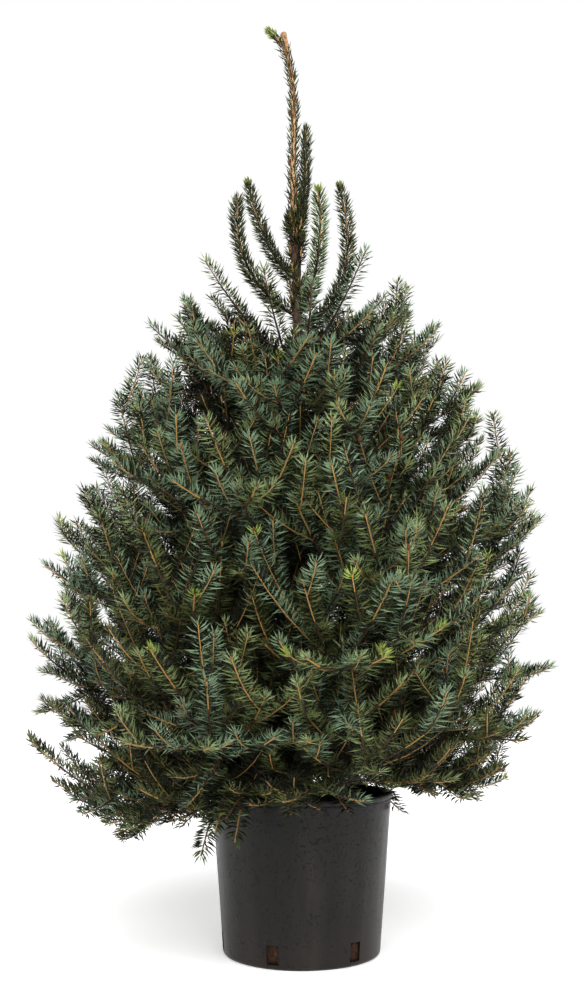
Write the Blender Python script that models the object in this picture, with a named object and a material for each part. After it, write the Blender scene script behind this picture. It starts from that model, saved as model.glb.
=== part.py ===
"""A young Serbian spruce in a round black nursery pot, built in metres with +Z up.

The origin is the centre of the pot's flat underside. -Y is the front, where the viewer stands, and +X is
the viewer's right. The pot, the potting soil, the trunk, every bough and every mass of foliage is its own
closed solid. Each mass is one stem with needled side shoots fused on by one Boolean union.
"""

import math
import random

import bmesh
import bpy
from mathutils import Matrix, Vector
from mathutils.bvhtree import BVHTree

SEED = 27
GAP = 0.0003

# The pot: a blow-moulded nursery container with a small rolled rim and six drain slots in the wall's foot.
POT_HEIGHT = 0.249
POT_RIM_RADIUS = 0.148
POT_BASE_RADIUS = 0.1265
POT_WALL = 0.0024
POT_FLOOR = 0.003
POT_FOOT_ROUND = 0.006
RIM_BAND_HEIGHT = 0.0095
RIM_BAND_PROUD = 0.0018
POT_SIDES = 32
SLOT_COUNT = 6
SLOT_WIDTH = 0.019
SLOT_HEIGHT = 0.028
SLOT_BOTTOM = 0.0075
SLOT_FIRST_DEG = 270.0 - 20.5

# The soil fills the pot to a little below the rim.
SOIL_TOP = 0.221
SOIL_DOME = 0.006

# The trunk: (height above the pot's underside, sideways lean to +X, radius), from the flat cut to the tip.
TRUNK_FOOT = SOIL_TOP + SOIL_DOME + GAP
TRUNK_STATIONS = (
    (TRUNK_FOOT, 0.000, 0.0275),
    (TRUNK_FOOT + 0.012, 0.000, 0.0215),
    (TRUNK_FOOT + 0.035, 0.000, 0.0180),
    (0.41, 0.000, 0.0160),
    (0.63, -0.003, 0.0135),
    (0.85, -0.004, 0.0110),
    (1.01, -0.006, 0.0085),
    (1.12, -0.007, 0.0072),
    (1.17, -0.008, 0.0086),
    (1.205, -0.010, 0.0098),
    (1.235, -0.011, 0.0064),
    (1.33, -0.014, 0.0052),
    (1.42, -0.012, 0.0047),
    (1.49, -0.014, 0.0043),
    (1.545, -0.022, 0.0038),
    (1.578, -0.034, 0.0034),
    (1.590, -0.046, 0.0026),
)
TRUNK_SIDES = 10
FLARE_LOBES = 5
FLARE_SWELL = 0.10

# The limbs leave the trunk in tiers of four from the pot up, each tier turned from the last. The lowest three
# tiers have boughs that show, and above them the foliage stands on the trunk.
# (height of the feet, reach, height of the tips, how late the rise comes: 0 straight, 1 all at the tip, and by
# what share of it the reach is longer on the left and shorter on the right)
TIERS = (
    (0.282, 0.340, 0.228, 0.0, 0.10),
    (0.340, 0.390, 0.335, 1.0, 0.09),
    (0.410, 0.412, 0.445, 0.9, 0.05),
    (0.495, 0.415, 0.560, 0.8, 0.03),
    (0.585, 0.392, 0.680, 0.7, 0.00),
    (0.680, 0.350, 0.800, 0.6, 0.00),
    (0.775, 0.305, 0.905, 0.5, 0.00),
    (0.875, 0.250, 1.020, 0.5, 0.02),
    (0.970, 0.195, 1.120, 0.4, 0.02),
)
TIER_LIMBS = 4
TIER_TURNS_DEG = (22, -18, 6, 26, -14, 18, -20, 8, 34)
BOUGH_TIERS = 3
BOUGH_RADII = (0.0058, 0.0046)
BOUGH_LENGTH = 0.060
BOUGH_TAPER = 0.70
BOUGH_SIDES = 5
BOUGH_STEPS = 3
BEARING_JITTER_DEG = 6.0
REACH_JITTER = 0.03

# One more limb hangs over the pot's rim, in front on the left.
DROOPING = {
    "name": "drooping",
    "foot": 0.318,
    "bend": (-0.115, -0.145, 0.335),
    "tip": (-0.145, -0.215, 0.180),
    "bough": 0.0042,
}

# The upright shoots round the foot of the leader: where each leaves the trunk, the point it bends towards and
# its tip. The last one is the tuft at the leader's own tip.
CROWN_SHOOTS = (
    {"name": "left_outer", "foot": 1.055, "bend": (-0.125, -0.030, 1.115), "tip": (-0.111, -0.030, 1.262)},
    {"name": "left_inner", "foot": 1.120, "bend": (-0.065, 0.035, 1.180), "tip": (-0.095, 0.040, 1.320)},
    {"name": "right_inner", "foot": 1.050, "bend": (0.045, -0.045, 1.130), "tip": (0.030, -0.050, 1.270)},
    {"name": "right_outer", "foot": 1.030, "bend": (0.120, 0.040, 1.105), "tip": (0.073, 0.045, 1.316)},
    {"name": "beside_leader", "foot": 1.215, "bend": (0.012, -0.012, 1.260), "tip": (0.009, -0.010, 1.404)},
)
LEADER_TUFT = 0.020
CROWN_STEP = 0.040
CROWN_RADIUS = 0.009

# A needled shoot is a three-sided core of its innermost needles that thins to the tip. Each side of each step
# of it is raised to one pointed tuft, which stands out as far as the needles reach. A side shoot stands for a
# spray of small twigs, so it is wider than a shoot on its own.
STEM_RADIUS = 0.0036
SHOOT_RADIUS = 0.016
SPRAY_RADIUS = 0.021
TIP_SHARE = 0.6
LIMB_STEPS = 4
LIMB_BARE_STEPS = 1
STEP = 0.060
TUFT_OUT = 0.018
TUFT_FORWARD = 0.020

# Side shoots of a mass leave its stem in turn, each with the next roll round it (0 is level to the one side,
# 90 straight up, 180 level to the other side).
ROLLS_DEG = (-12, 192, 88, 15, 165, 272, 50, 130)
SHOOTS_EACH = 8
FIRST_ROOT = 0.14
LAST_ROOT = 0.80
LONGEST_SHOOT = 0.52
SHORTENING = 0.35
SHORTEST_SHOOT = 0.050
SHOOT_ANGLE_DEG = 52
TIP_ANGLE_DEG = 40
SHOOT_LIFT = 0.16
ROOT_SHARE = 0.26
SHORTER = (1.0, 0.84, 0.70)
TURNED_BY_DEG = (0, 32, -32, 64, -64)
ANGLE_JITTER_DEG = 7
ROLL_JITTER_DEG = 14
CLEARANCE = 0.0012

# No foliage hangs lower than this on the left. On the right and in front its hem rises, clear of the pot's rim.
LOWEST_FOLIAGE = 0.175
FRONT_RISE = 0.27
RIGHT_RISE = 0.12


def material(name, colour, roughness, metallic=0.0):
    """A Principled material with one base colour."""
    made = bpy.data.materials.new(name)
    made.use_nodes = True
    shader = made.node_tree.nodes["Principled BSDF"]
    shader.inputs["Base Color"].default_value = (*colour, 1.0)
    shader.inputs["Roughness"].default_value = roughness
    shader.inputs["Metallic"].default_value = metallic
    made.diffuse_color = (*colour, 1.0)
    return made


def new_object(name, mesh, finish):
    """Links a mesh as a named object with one material."""
    made = bpy.data.objects.new(name, mesh)
    bpy.context.scene.collection.objects.link(made)
    if finish is not None:
        mesh.materials.append(finish)
    return made


def mesh_of(name, bm):
    """Turns a bmesh into a mesh with its faces pointing out."""
    bmesh.ops.recalc_face_normals(bm, faces=bm.faces)
    mesh = bpy.data.meshes.new(name)
    bm.to_mesh(mesh)
    bm.free()
    return mesh


def frame_along(direction):
    """Two unit vectors square to the direction, the second one as near to straight up as it can be."""
    ahead = direction.normalized()
    side = ahead.cross(Vector((0.0, 0.0, 1.0)))
    if side.length < 0.05:
        side = Vector((1.0, 0.0, 0.0)) - ahead.x * ahead
    side.normalize()
    return side, side.cross(ahead)


def frames_along(directions):
    """The frame of the first direction, carried along the others without a twist."""
    side, _ = frame_along(directions[0])
    found = []
    for ahead in directions:
        side = (side - side.dot(ahead) * ahead).normalized()
        found.append((side, side.cross(ahead)))
    return found


def ring_points(centre, frame, radius, sides, turn=0.0):
    """The corners of a regular polygon in the plane of a frame."""
    side, up = frame
    angles = [turn + 2.0 * math.pi * k / sides for k in range(sides)]
    return [centre + radius * (math.cos(a) * side + math.sin(a) * up) for a in angles]


def tangents(path):
    """The direction of a path of points at each of them."""
    last = len(path) - 1
    return [(path[min(i + 1, last)] - path[max(i - 1, 0)]).normalized() for i in range(last + 1)]


def curve_point(start, bend, end, share):
    """A point on the quadratic curve from start to end that leans towards bend."""
    return start * (1.0 - share) ** 2 + bend * 2.0 * share * (1.0 - share) + end * share**2


def curve_path(start, bend, end, low, high, steps):
    """Evenly shared points of that curve between two shares of it."""
    return [curve_point(start, bend, end, low + (high - low) * i / steps) for i in range(steps + 1)]


def lofted_tube(bm, path, radii, sides, turn=0.0):
    """Rings of corners along a path, walled and capped. Returns the wall faces, step by step, and the end cap."""
    rings = []
    for point, frame, radius in zip(path, frames_along(tangents(path)), radii):
        rings.append([bm.verts.new(p) for p in ring_points(point, frame, radius, sides, turn)])
    walls = []
    for low, high in zip(rings, rings[1:]):
        corners = [(low[k - 1], low[k], high[k], high[k - 1]) for k in range(sides)]
        walls.append([bm.faces.new(c) for c in corners])
    bm.faces.new(rings[0])
    return walls, bm.faces.new(rings[-1])


def limb_mesh(name, path, radii, sides):
    """A tapering limb with flat ends."""
    bm = bmesh.new()
    lofted_tube(bm, path, radii, sides)
    return mesh_of(name, bm)


def shoot_bmesh(path, bare_steps, radius, grow_by=0.0):
    """A needled shoot: a three-sided core that ends in a point, with its sides raised into pointed tufts.

    Its first bare_steps steps are stem without needles. grow_by widens it all round, to test its space.
    """
    bm = bmesh.new()
    steps = len(path) - 1
    radii = [radius * (1.0 - (1.0 - TIP_SHARE) * i / steps) + grow_by for i in range(steps + 1)]
    for i in range(bare_steps):
        radii[i] = STEM_RADIUS + grow_by
    walls, tip = lofted_tube(bm, path, radii, 3, turn=math.pi / 2.0)
    directions = tangents(path)
    for i, faces in enumerate(walls):
        if i < bare_steps:
            continue
        ahead = directions[i + 1]
        length = 1.0 - 0.25 * i / steps
        poked = bmesh.ops.poke(bm, faces=faces)
        for vert in poked["verts"]:
            out = vert.co - (path[i] + path[i + 1]) / 2.0
            out = (out - out.dot(ahead) * ahead).normalized()
            vert.co += length * (TUFT_OUT * out + TUFT_FORWARD * ahead) + grow_by * out
    poked = bmesh.ops.poke(bm, faces=[tip])
    poked["verts"][0].co = path[-1] + directions[-1] * TUFT_FORWARD
    return bm


def tree_of(bm, discard=False):
    """A search tree of a bmesh's triangles."""
    copy = bm.copy()
    bmesh.ops.triangulate(copy, faces=copy.faces)
    found = BVHTree.FromBMesh(copy)
    copy.free()
    if discard:
        bm.free()
    return found


def tree_of_object(obj):
    """A search tree of an object's evaluated mesh in world space."""
    bm = bmesh.new()
    graph = bpy.context.evaluated_depsgraph_get()
    bm.from_mesh(obj.evaluated_get(graph).to_mesh())
    bm.transform(obj.matrix_world)
    found = tree_of(bm)
    bm.free()
    return found


def apply_modifiers(obj):
    """Replaces an object's mesh by its evaluated one."""
    graph = bpy.context.evaluated_depsgraph_get()
    mesh = bpy.data.meshes.new_from_object(obj.evaluated_get(graph))
    obj.modifiers.clear()
    obj.data = mesh


def boolean(obj, operation, other):
    """Adds a Boolean with an object or a collection and applies it."""
    modifier = obj.modifiers.new(operation.title(), "BOOLEAN")
    modifier.operation = operation
    modifier.solver = "EXACT"
    if isinstance(other, bpy.types.Collection):
        modifier.operand_type = "COLLECTION"
        modifier.collection = other
    else:
        modifier.object = other
    bpy.context.view_layer.update()
    apply_modifiers(obj)


def pot_profile():
    """The wall's section from the underside's middle, up the outside, over the rim and down the inside."""
    slope = (POT_RIM_RADIUS - POT_BASE_RADIUS) / POT_HEIGHT

    def outside(height):
        return POT_BASE_RADIUS + slope * height - RIM_BAND_PROUD

    foot = POT_FOOT_ROUND
    centre = (outside(foot) - foot, foot)
    arc = [math.radians(a) for a in (-90, -45, 0)]
    points = [(0.0, 0.0)]
    points += [(centre[0] + foot * math.cos(a), centre[1] + foot * math.sin(a)) for a in arc]
    band = POT_HEIGHT - RIM_BAND_HEIGHT
    points += [(outside(band), band), (POT_RIM_RADIUS, band + 0.002), (POT_RIM_RADIUS, POT_HEIGHT - 0.0012)]
    points += [(POT_RIM_RADIUS - 0.0012, POT_HEIGHT)]
    points += [(outside(POT_HEIGHT) - POT_WALL, POT_HEIGHT), (outside(foot) - POT_WALL, POT_FLOOR + 0.004)]
    points += [(centre[0], POT_FLOOR), (0.0, POT_FLOOR)]
    return points


def pot_inside(height):
    """The inner wall's radius at a height."""
    slope = (POT_RIM_RADIUS - POT_BASE_RADIUS) / POT_HEIGHT
    return POT_BASE_RADIUS + slope * height - RIM_BAND_PROUD - POT_WALL


def turned(name, profile, sides):
    """Spins a section round the Z axis into a closed solid."""
    bm = bmesh.new()
    verts = [bm.verts.new((x, 0.0, z)) for x, z in profile]
    edges = [bm.edges.new(pair) for pair in zip(verts, verts[1:])]
    axis = {"cent": (0.0, 0.0, 0.0), "axis": (0.0, 0.0, 1.0)}
    bmesh.ops.spin(bm, geom=verts + edges, angle=2.0 * math.pi, steps=sides, use_merge=True, **axis)
    bmesh.ops.remove_doubles(bm, verts=bm.verts, dist=1e-6)
    return mesh_of(name, bm)


def build_pot(finish):
    """The pot: one turned wall with its drain slots cut by boxes."""
    pot = new_object("pot", turned("pot", pot_profile(), POT_SIDES), finish)
    bm = bmesh.new()
    for k in range(SLOT_COUNT):
        turn = Matrix.Rotation(math.radians(SLOT_FIRST_DEG + k * 360.0 / SLOT_COUNT), 4, "Z")
        place = Matrix.Translation((POT_BASE_RADIUS, 0.0, SLOT_BOTTOM + SLOT_HEIGHT / 2.0))
        size = Matrix.Diagonal((0.030, SLOT_WIDTH, SLOT_HEIGHT, 1.0))
        bmesh.ops.create_cube(bm, size=1.0, matrix=turn @ place @ size)
    cutter = new_object("slot_cutter", mesh_of("slot_cutter", bm), None)
    boolean(pot, "DIFFERENCE", cutter)
    bpy.data.objects.remove(cutter)
    pot.data.shade_smooth()
    pot.data.set_sharp_from_angle(angle=math.radians(35.0))
    return pot


def build_soil(finish):
    """The potting soil: it fills the pot with a low crown round the trunk's foot."""
    low = POT_FLOOR + GAP + 0.0035
    top_radius = pot_inside(SOIL_TOP) - 2.0 * GAP
    profile = [
        (0.0, POT_FLOOR + GAP),
        (pot_inside(0.0) - POT_FOOT_ROUND - 0.002, POT_FLOOR + GAP),
        (pot_inside(low) - 2.0 * GAP - 0.001, low + 0.003),
        (top_radius, SOIL_TOP),
        (top_radius * 0.6, SOIL_TOP + SOIL_DOME * 0.7),
        (0.035, SOIL_TOP + SOIL_DOME),
        (0.0, SOIL_TOP + SOIL_DOME),
    ]
    return new_object("potting_soil", turned("potting_soil", profile, POT_SIDES), finish)


def trunk_centre(height):
    """The trunk's middle at a height."""
    below = [s for s in TRUNK_STATIONS if s[0] <= height][-1]
    above = [s for s in TRUNK_STATIONS if s[0] > height][0]
    share = (height - below[0]) / (above[0] - below[0])
    return Vector((below[1] + share * (above[1] - below[1]), 0.0, height))


def trunk_mesh(name, grow):
    """The trunk's tube, with a lobed root flare. grow widens it all round, for the boughs' clearance."""
    bm = bmesh.new()
    path = [Vector((x, 0.0, z)) for z, x, _ in TRUNK_STATIONS]
    walls, tip = lofted_tube(bm, path, [r + grow for _, _, r in TRUNK_STATIONS], TRUNK_SIDES)
    foot = TRUNK_STATIONS[0][0]
    for vert in bm.verts:
        near = max(0.0, 1.0 - (vert.co.z - foot) / 0.03)
        angle = math.atan2(vert.co.y, vert.co.x)
        swell = 1.0 + near * FLARE_SWELL * math.cos(FLARE_LOBES * angle)
        vert.co.x *= swell
        vert.co.y *= swell
    for vert in bm.verts:
        if abs(vert.co.z - foot) < 0.002:
            vert.co.z = foot
    return mesh_of(name, bm)


def hem(point):
    """The lowest height that foliage may reach at a place."""
    return LOWEST_FOLIAGE + FRONT_RISE * max(0.0, -point.y) + RIGHT_RISE * max(0.0, point.x)


def tier_limbs():
    """Every limb as (label, bough radius, start, bend, end), from the lowest tier up."""
    rule = random.Random(SEED)
    found = []
    for t, (foot, reach, tip, late, left_longer) in enumerate(TIERS):
        radius = BOUGH_RADII[0] + (BOUGH_RADII[1] - BOUGH_RADII[0]) * t / BOUGH_TIERS if t < BOUGH_TIERS else 0.0
        for k in range(TIER_LIMBS):
            turn = TIER_TURNS_DEG[t] + 360.0 * k / TIER_LIMBS + rule.uniform(-1, 1) * BEARING_JITTER_DEG
            out = Vector((math.cos(math.radians(turn)), math.sin(math.radians(turn)), 0.0))
            out *= reach * (1.0 - left_longer * out.x) * (1.0 + rule.uniform(-1, 1) * REACH_JITTER)
            start = trunk_centre(foot + rule.uniform(-0.012, 0.012))
            rise = Vector((0.0, 0.0, max(tip - foot, hem(start + out) + 0.03 - foot)))
            bend = start + out * 0.55 + rise * 0.5 * (1.0 - late)
            found.append((f"{t + 1}_{k + 1}", radius, start, bend, start + out + rise))
    start = trunk_centre(DROOPING["foot"])
    found.append((DROOPING["name"], DROOPING["bough"], start, Vector(DROOPING["bend"]), Vector(DROOPING["tip"])))
    return found


def shoot_path(start, direction, length, lift):
    """A side shoot's path: a short root, then equal steps that curve up towards its tip."""
    steps = max(2, round(length * (1.0 - ROOT_SHARE) / STEP))
    end = start + direction * length + Vector((0.0, 0.0, lift * length))
    bend = start + direction * length * 0.55
    return [start] + curve_path(start, bend, end, ROOT_SHARE, 1.0, steps)


def leaving(path, share, angle_deg, roll_deg):
    """Where a side shoot roots on its parent, and the way it leaves: its angle off the parent, rolled round it."""
    place = share * (len(path) - 1)
    i = min(int(place), len(path) - 2)
    root = path[i].lerp(path[i + 1], place - i)
    ahead = (path[i + 1] - path[i]).normalized()
    across, up = frame_along(ahead)
    angle, roll = math.radians(angle_deg), math.radians(roll_deg)
    sideways = math.cos(roll) * across + math.sin(roll) * up
    return root, (math.cos(angle) * ahead + math.sin(angle) * sideways).normalized()


class Mass:
    """One mass of foliage while it grows: its stem's path and the shoots that have been accepted."""

    def __init__(self, name, path, bare_steps, radius, seed, on_trunk):
        self.name = name
        self.on_trunk = on_trunk
        self.path = path
        self.rule = random.Random(seed)
        self.length = sum((b - a).length for a, b in zip(path, path[1:]))
        self.stem = shoot_bmesh(path, bare_steps, radius)
        self.parts = []
        self.sprays = [tree_of(self.stem)]

    def add_shoot(self, share, length, angle, roll, others):
        """Adds a shoot where it touches no limb, no other mass and no other shoot, turned or shortened to fit."""
        for shorter in SHORTER:
            for turned_by in TURNED_BY_DEG:
                if length * shorter < SHORTEST_SHOOT:
                    return
                bend = angle + self.rule.uniform(-1, 1) * ANGLE_JITTER_DEG
                around = roll + turned_by + self.rule.uniform(-1, 1) * ROLL_JITTER_DEG
                root, direction = leaving(self.path, share, bend, around)
                path = shoot_path(root, direction, length * shorter, SHOOT_LIFT)
                if path[-1].z < hem(path[-1]):
                    continue
                whole = tree_of(shoot_bmesh(path, 1, SPRAY_RADIUS, CLEARANCE), discard=True)
                beyond = tree_of(shoot_bmesh(path[1:], 0, SPRAY_RADIUS), discard=True)
                taken = any(whole.overlap(other) for other in others)
                if not taken and not any(beyond.overlap(own) for own in self.sprays):
                    self.parts.append(shoot_bmesh(path, 1, SPRAY_RADIUS))
                    self.sprays.append(beyond)
                    return


def grow(masses, limbs):
    """Adds side shoots to all the masses in turn, so that none takes its neighbours' space."""
    for n in range(SHOOTS_EACH):
        along = n / (SHOOTS_EACH - 1)
        share = FIRST_ROOT + (LAST_ROOT - FIRST_ROOT) * along
        angle = SHOOT_ANGLE_DEG + (TIP_ANGLE_DEG - SHOOT_ANGLE_DEG) * along
        roll = ROLLS_DEG[n % len(ROLLS_DEG)]
        for mass in masses:
            others = limbs + [t for m in masses if m is not mass for t in m.sprays]
            length = LONGEST_SHOOT * mass.length * (1.0 - SHORTENING * along)
            mass.add_shoot(share, length, angle, roll, others)


def fuse(mass, finish, clearance):
    """Joins a mass's shoots to its stem by one union and removes the loose pieces.

    A stem that stands on the trunk starts at its middle, so the trunk's clearance is cut from it first.
    """
    made = new_object(mass.name, mesh_of(mass.name, mass.stem), finish)
    if mass.on_trunk:
        boolean(made, "DIFFERENCE", clearance)
    if not mass.parts:
        return
    loose = bpy.data.collections.new(mass.name + "_parts")
    bpy.context.scene.collection.children.link(loose)
    for bm in mass.parts:
        loose.objects.link(bpy.data.objects.new("spray", mesh_of("spray", bm)))
    boolean(made, "UNION", loose)
    for obj in list(loose.objects):
        bpy.data.objects.remove(obj)
    bpy.data.collections.remove(loose)


def main():
    for obj in list(bpy.data.objects):
        bpy.data.objects.remove(obj)

    plastic = material("black_polypropylene", (0.028, 0.027, 0.026), 0.45)
    soil = material("potting_soil", (0.035, 0.022, 0.014), 0.95)
    bark = material("spruce_bark", (0.105, 0.068, 0.045), 0.85)
    needles = material("spruce_needles", (0.055, 0.095, 0.065), 0.55)

    solids = [build_pot(plastic), build_soil(soil)]
    solids.append(new_object("trunk", trunk_mesh("trunk", 0.0), bark))
    clearance = new_object("trunk_clearance", trunk_mesh("trunk_clearance", 1.2 * GAP), None)
    clearance.hide_render = True
    clearance.display_type = "WIRE"

    branching = []
    for n, (label, radius, start, bend, end) in enumerate(tier_limbs()):
        share = 0.0
        if radius:
            share = BOUGH_LENGTH / (end - start).length
            path = curve_path(start, bend, end, 0.0, share, BOUGH_STEPS)
            radii = [radius * (1.0 - (1.0 - BOUGH_TAPER) * i / BOUGH_STEPS) for i in range(BOUGH_STEPS + 1)]
            name = "bough_" + label
            bough = new_object(name, limb_mesh(name, path, radii, BOUGH_SIDES), bark)
            boolean(bough, "DIFFERENCE", clearance)
            solids.append(bough)
            share += GAP / (end - start).length
        path = curve_path(start, bend, end, share, 1.0, LIMB_STEPS)
        name = "foliage_" + label
        branching.append(Mass(name, path, LIMB_BARE_STEPS, SHOOT_RADIUS, SEED + n, not radius))

    single = []
    for n, shoot in enumerate(CROWN_SHOOTS):
        start = trunk_centre(shoot["foot"])
        end = Vector(shoot["tip"])
        steps = max(4, round((end - start).length / CROWN_STEP))
        path = curve_path(start, Vector(shoot["bend"]), end, 0.0, 1.0, steps)
        single.append(Mass("foliage_" + shoot["name"], path, 1, CROWN_RADIUS, SEED - n, True))

    tip, before = (Vector((x, 0.0, z)) for z, x, _ in (TRUNK_STATIONS[-1], TRUNK_STATIONS[-2]))
    ahead = (tip - before).normalized()
    path = [tip + ahead * (GAP + LEADER_TUFT * i / 2) for i in range(3)]
    single.append(Mass("foliage_leader_tip", path, 1, CROWN_RADIUS * 0.7, SEED, False))

    limbs = [tree_of_object(obj) for obj in solids]
    grow(branching, limbs + [mass.sprays[0] for mass in single])
    for mass in branching + single:
        fuse(mass, needles, clearance)
    bpy.data.objects.remove(clearance)


main()
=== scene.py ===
"""The looks of a young Serbian spruce in a black nursery pot.

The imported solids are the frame. Each group of them is replaced here by the finer piece it stands for: a
moulded pot with its drain slots, potting soil with the root ball behind the slots, a trunk and boughs with
bark relief, and twigs, buds and needles that grow on from the limbs by the same rule as the solids' foliage.
Sizes are metres, +Z is up, -Y is the front and +X is the viewer's right.
"""

import itertools
import math
import random

import bpy
import numpy as np
from bpy.props import FloatProperty, FloatVectorProperty, IntProperty, PointerProperty
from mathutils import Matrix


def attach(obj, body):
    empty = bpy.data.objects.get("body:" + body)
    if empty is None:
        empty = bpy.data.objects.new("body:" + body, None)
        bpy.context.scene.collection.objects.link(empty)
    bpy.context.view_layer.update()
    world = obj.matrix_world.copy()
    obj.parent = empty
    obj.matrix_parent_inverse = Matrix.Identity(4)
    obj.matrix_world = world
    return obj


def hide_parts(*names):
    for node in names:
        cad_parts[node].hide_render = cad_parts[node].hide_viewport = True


bl_info = {
    "name": "Potted spruce",
    "version": (1, 0, 0),
    "blender": (4, 5, 0),
    "location": "View3D > Sidebar > Spruce",
    "description": "Dresses the solids of a potted Serbian spruce with bark, twigs, needles, soil and a pot",
    "category": "Object",
}

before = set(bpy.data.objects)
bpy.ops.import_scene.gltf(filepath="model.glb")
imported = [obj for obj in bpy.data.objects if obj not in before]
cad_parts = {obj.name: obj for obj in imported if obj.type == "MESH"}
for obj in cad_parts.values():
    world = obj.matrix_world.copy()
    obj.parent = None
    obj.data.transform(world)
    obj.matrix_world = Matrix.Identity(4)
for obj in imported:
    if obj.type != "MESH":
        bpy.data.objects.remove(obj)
BODY = "root"
SEED = 27

# The pot, as in the solids.
POT_HEIGHT = 0.249
POT_RIM_RADIUS = 0.148
POT_BASE_RADIUS = 0.1265
POT_WALL = 0.0024
POT_FLOOR = 0.003
POT_FOOT_ROUND = 0.006
RIM_BAND_HEIGHT = 0.0095
RIM_BAND_PROUD = 0.0018
SLOT_COUNT = 6
SLOT_WIDTH = 0.019
SLOT_HEIGHT = 0.028
SLOT_BOTTOM = 0.0075
SLOT_FIRST_DEG = 270.0 - 20.5
SOIL_TOP = 0.221
SOIL_DOME = 0.006
TRUNK_FOOT = SOIL_TOP + SOIL_DOME + 0.0003
# How the wall leans out with height, the radius inside its foot, and how deep the slots are punched.
WALL_SLOPE = (POT_RIM_RADIUS - POT_BASE_RADIUS) / POT_HEIGHT
POT_INSIDE = POT_BASE_RADIUS - RIM_BAND_PROUD - POT_WALL
PUNCH_DEPTH = 0.03
# The middle of a dark spot on the wall's front left.
DARK_SPOT = (-0.073, -0.125, 0.219)
# The size of the soil's crumbs, how high they stand on top and how deep they are cut at the sides.
CRUMB = 0.011
CRUMBS_HIGH = 0.0035
CRUMBS_DEEP = 0.0025
# The bark chips on it: how far out they lie, how many, and the spans of their length, width and height.
CHIPS_RADIUS = 0.138
CHIP_COUNT = 900
CHIP_SIZES = ((0.003, 0.011), (0.002, 0.006), (0.001, 0.003))
# The roots seen in each slot: how many, and the span of their radii.
ROOTS_PER_SLOT = 60
ROOT_RADII = (0.00015, 0.00042)

# The trunk, as in the solids: (height, sideways lean, radius).
TRUNK_STATIONS = (
    (TRUNK_FOOT, 0.000, 0.0275),
    (TRUNK_FOOT + 0.012, 0.000, 0.0215),
    (TRUNK_FOOT + 0.035, 0.000, 0.0180),
    (0.41, 0.000, 0.0160),
    (0.63, -0.003, 0.0135),
    (0.85, -0.004, 0.0110),
    (1.01, -0.006, 0.0085),
    (1.12, -0.007, 0.0072),
    (1.17, -0.008, 0.0086),
    (1.205, -0.010, 0.0098),
    (1.235, -0.011, 0.0064),
    (1.33, -0.014, 0.0052),
    (1.42, -0.012, 0.0047),
    (1.49, -0.014, 0.0043),
    (1.545, -0.022, 0.0038),
    (1.578, -0.034, 0.0034),
    (1.590, -0.046, 0.0026),
)
FLARE_LOBES = 5
FLARE_SWELL = 0.10
# Where the leader begins, and how long the tuft at its tip is.
LEADER_FOOT = 1.235
LEADER_TUFT = 0.020
# The leader's snapped end beside its tip: (height, sideways lean), and its radius.
STUB = ((1.560, -0.0240), (1.599, -0.0315))
STUB_RADIUS = 0.0049
# The stub's rings: the shares of its length where they stand, and their widths by its radius.
STUB_RINGS = (0.0, 0.2, 0.4, 0.6, 0.8, 0.96, 0.99, 1.0)
STUB_WIDTHS = (1.0, 1.0, 1.0, 1.0, 1.0, 1.0, 0.9, 0.3)
# A bud's section: (place along it, width), both by its radius.
BUD_SECTION = ((-0.4, 0.62), (0.5, 1.0), (1.5, 0.92), (2.6, 0.4))
# The share of shoots that end in a bud, the span of the buds' radii, and how much more the large ones have.
BUD_SHARE = 0.7
BUD_RADII = (0.0010, 0.0017)
LARGE_BUD_SHARE = 0.06
LARGE_BUD_MORE = 0.0016
LEADER_BUD = 0.0029
# Buds on the leader: (height, bearing).
LEADER_BUDS = ((1.509, -25), (1.462, -8), (1.439, 190), (1.388, 100), (1.344, 205), (1.300, 20), (1.275, 150))

# The limbs, as in the solids: (height of the feet, reach, height of the tips, how late the rise comes, and by
# what share the reach is longer on the left).
TIERS = (
    (0.282, 0.340, 0.228, 0.0, 0.10),
    (0.340, 0.390, 0.335, 1.0, 0.09),
    (0.410, 0.412, 0.445, 0.9, 0.05),
    (0.495, 0.415, 0.560, 0.8, 0.03),
    (0.585, 0.392, 0.680, 0.7, 0.00),
    (0.680, 0.350, 0.800, 0.6, 0.00),
    (0.775, 0.305, 0.905, 0.5, 0.00),
    (0.875, 0.250, 1.020, 0.5, 0.02),
    (0.970, 0.195, 1.120, 0.4, 0.02),
)
# How many limbs a tier has, the bearing of its first, and in how many tiers the solids' limbs are boughs.
TIER_LIMBS = 4
TIER_TURNS_DEG = (22, -18, 6, 26, -14, 18, -20, 8, 34)
BOUGH_TIERS = 3
# How much the limbs' bearings, reaches and feet scatter.
BEARING_JITTER_DEG = 6.0
REACH_JITTER = 0.03
FOOT_JITTER = 0.012
# Where a limb bends, as a share of its reach, how far above the hem its tip stays, and how densely the
# solids' own limbs are needled.
LIMB_BEND = 0.55
TIP_ABOVE_HEM = 0.03
LIMB_DENSE = 1.3
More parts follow.
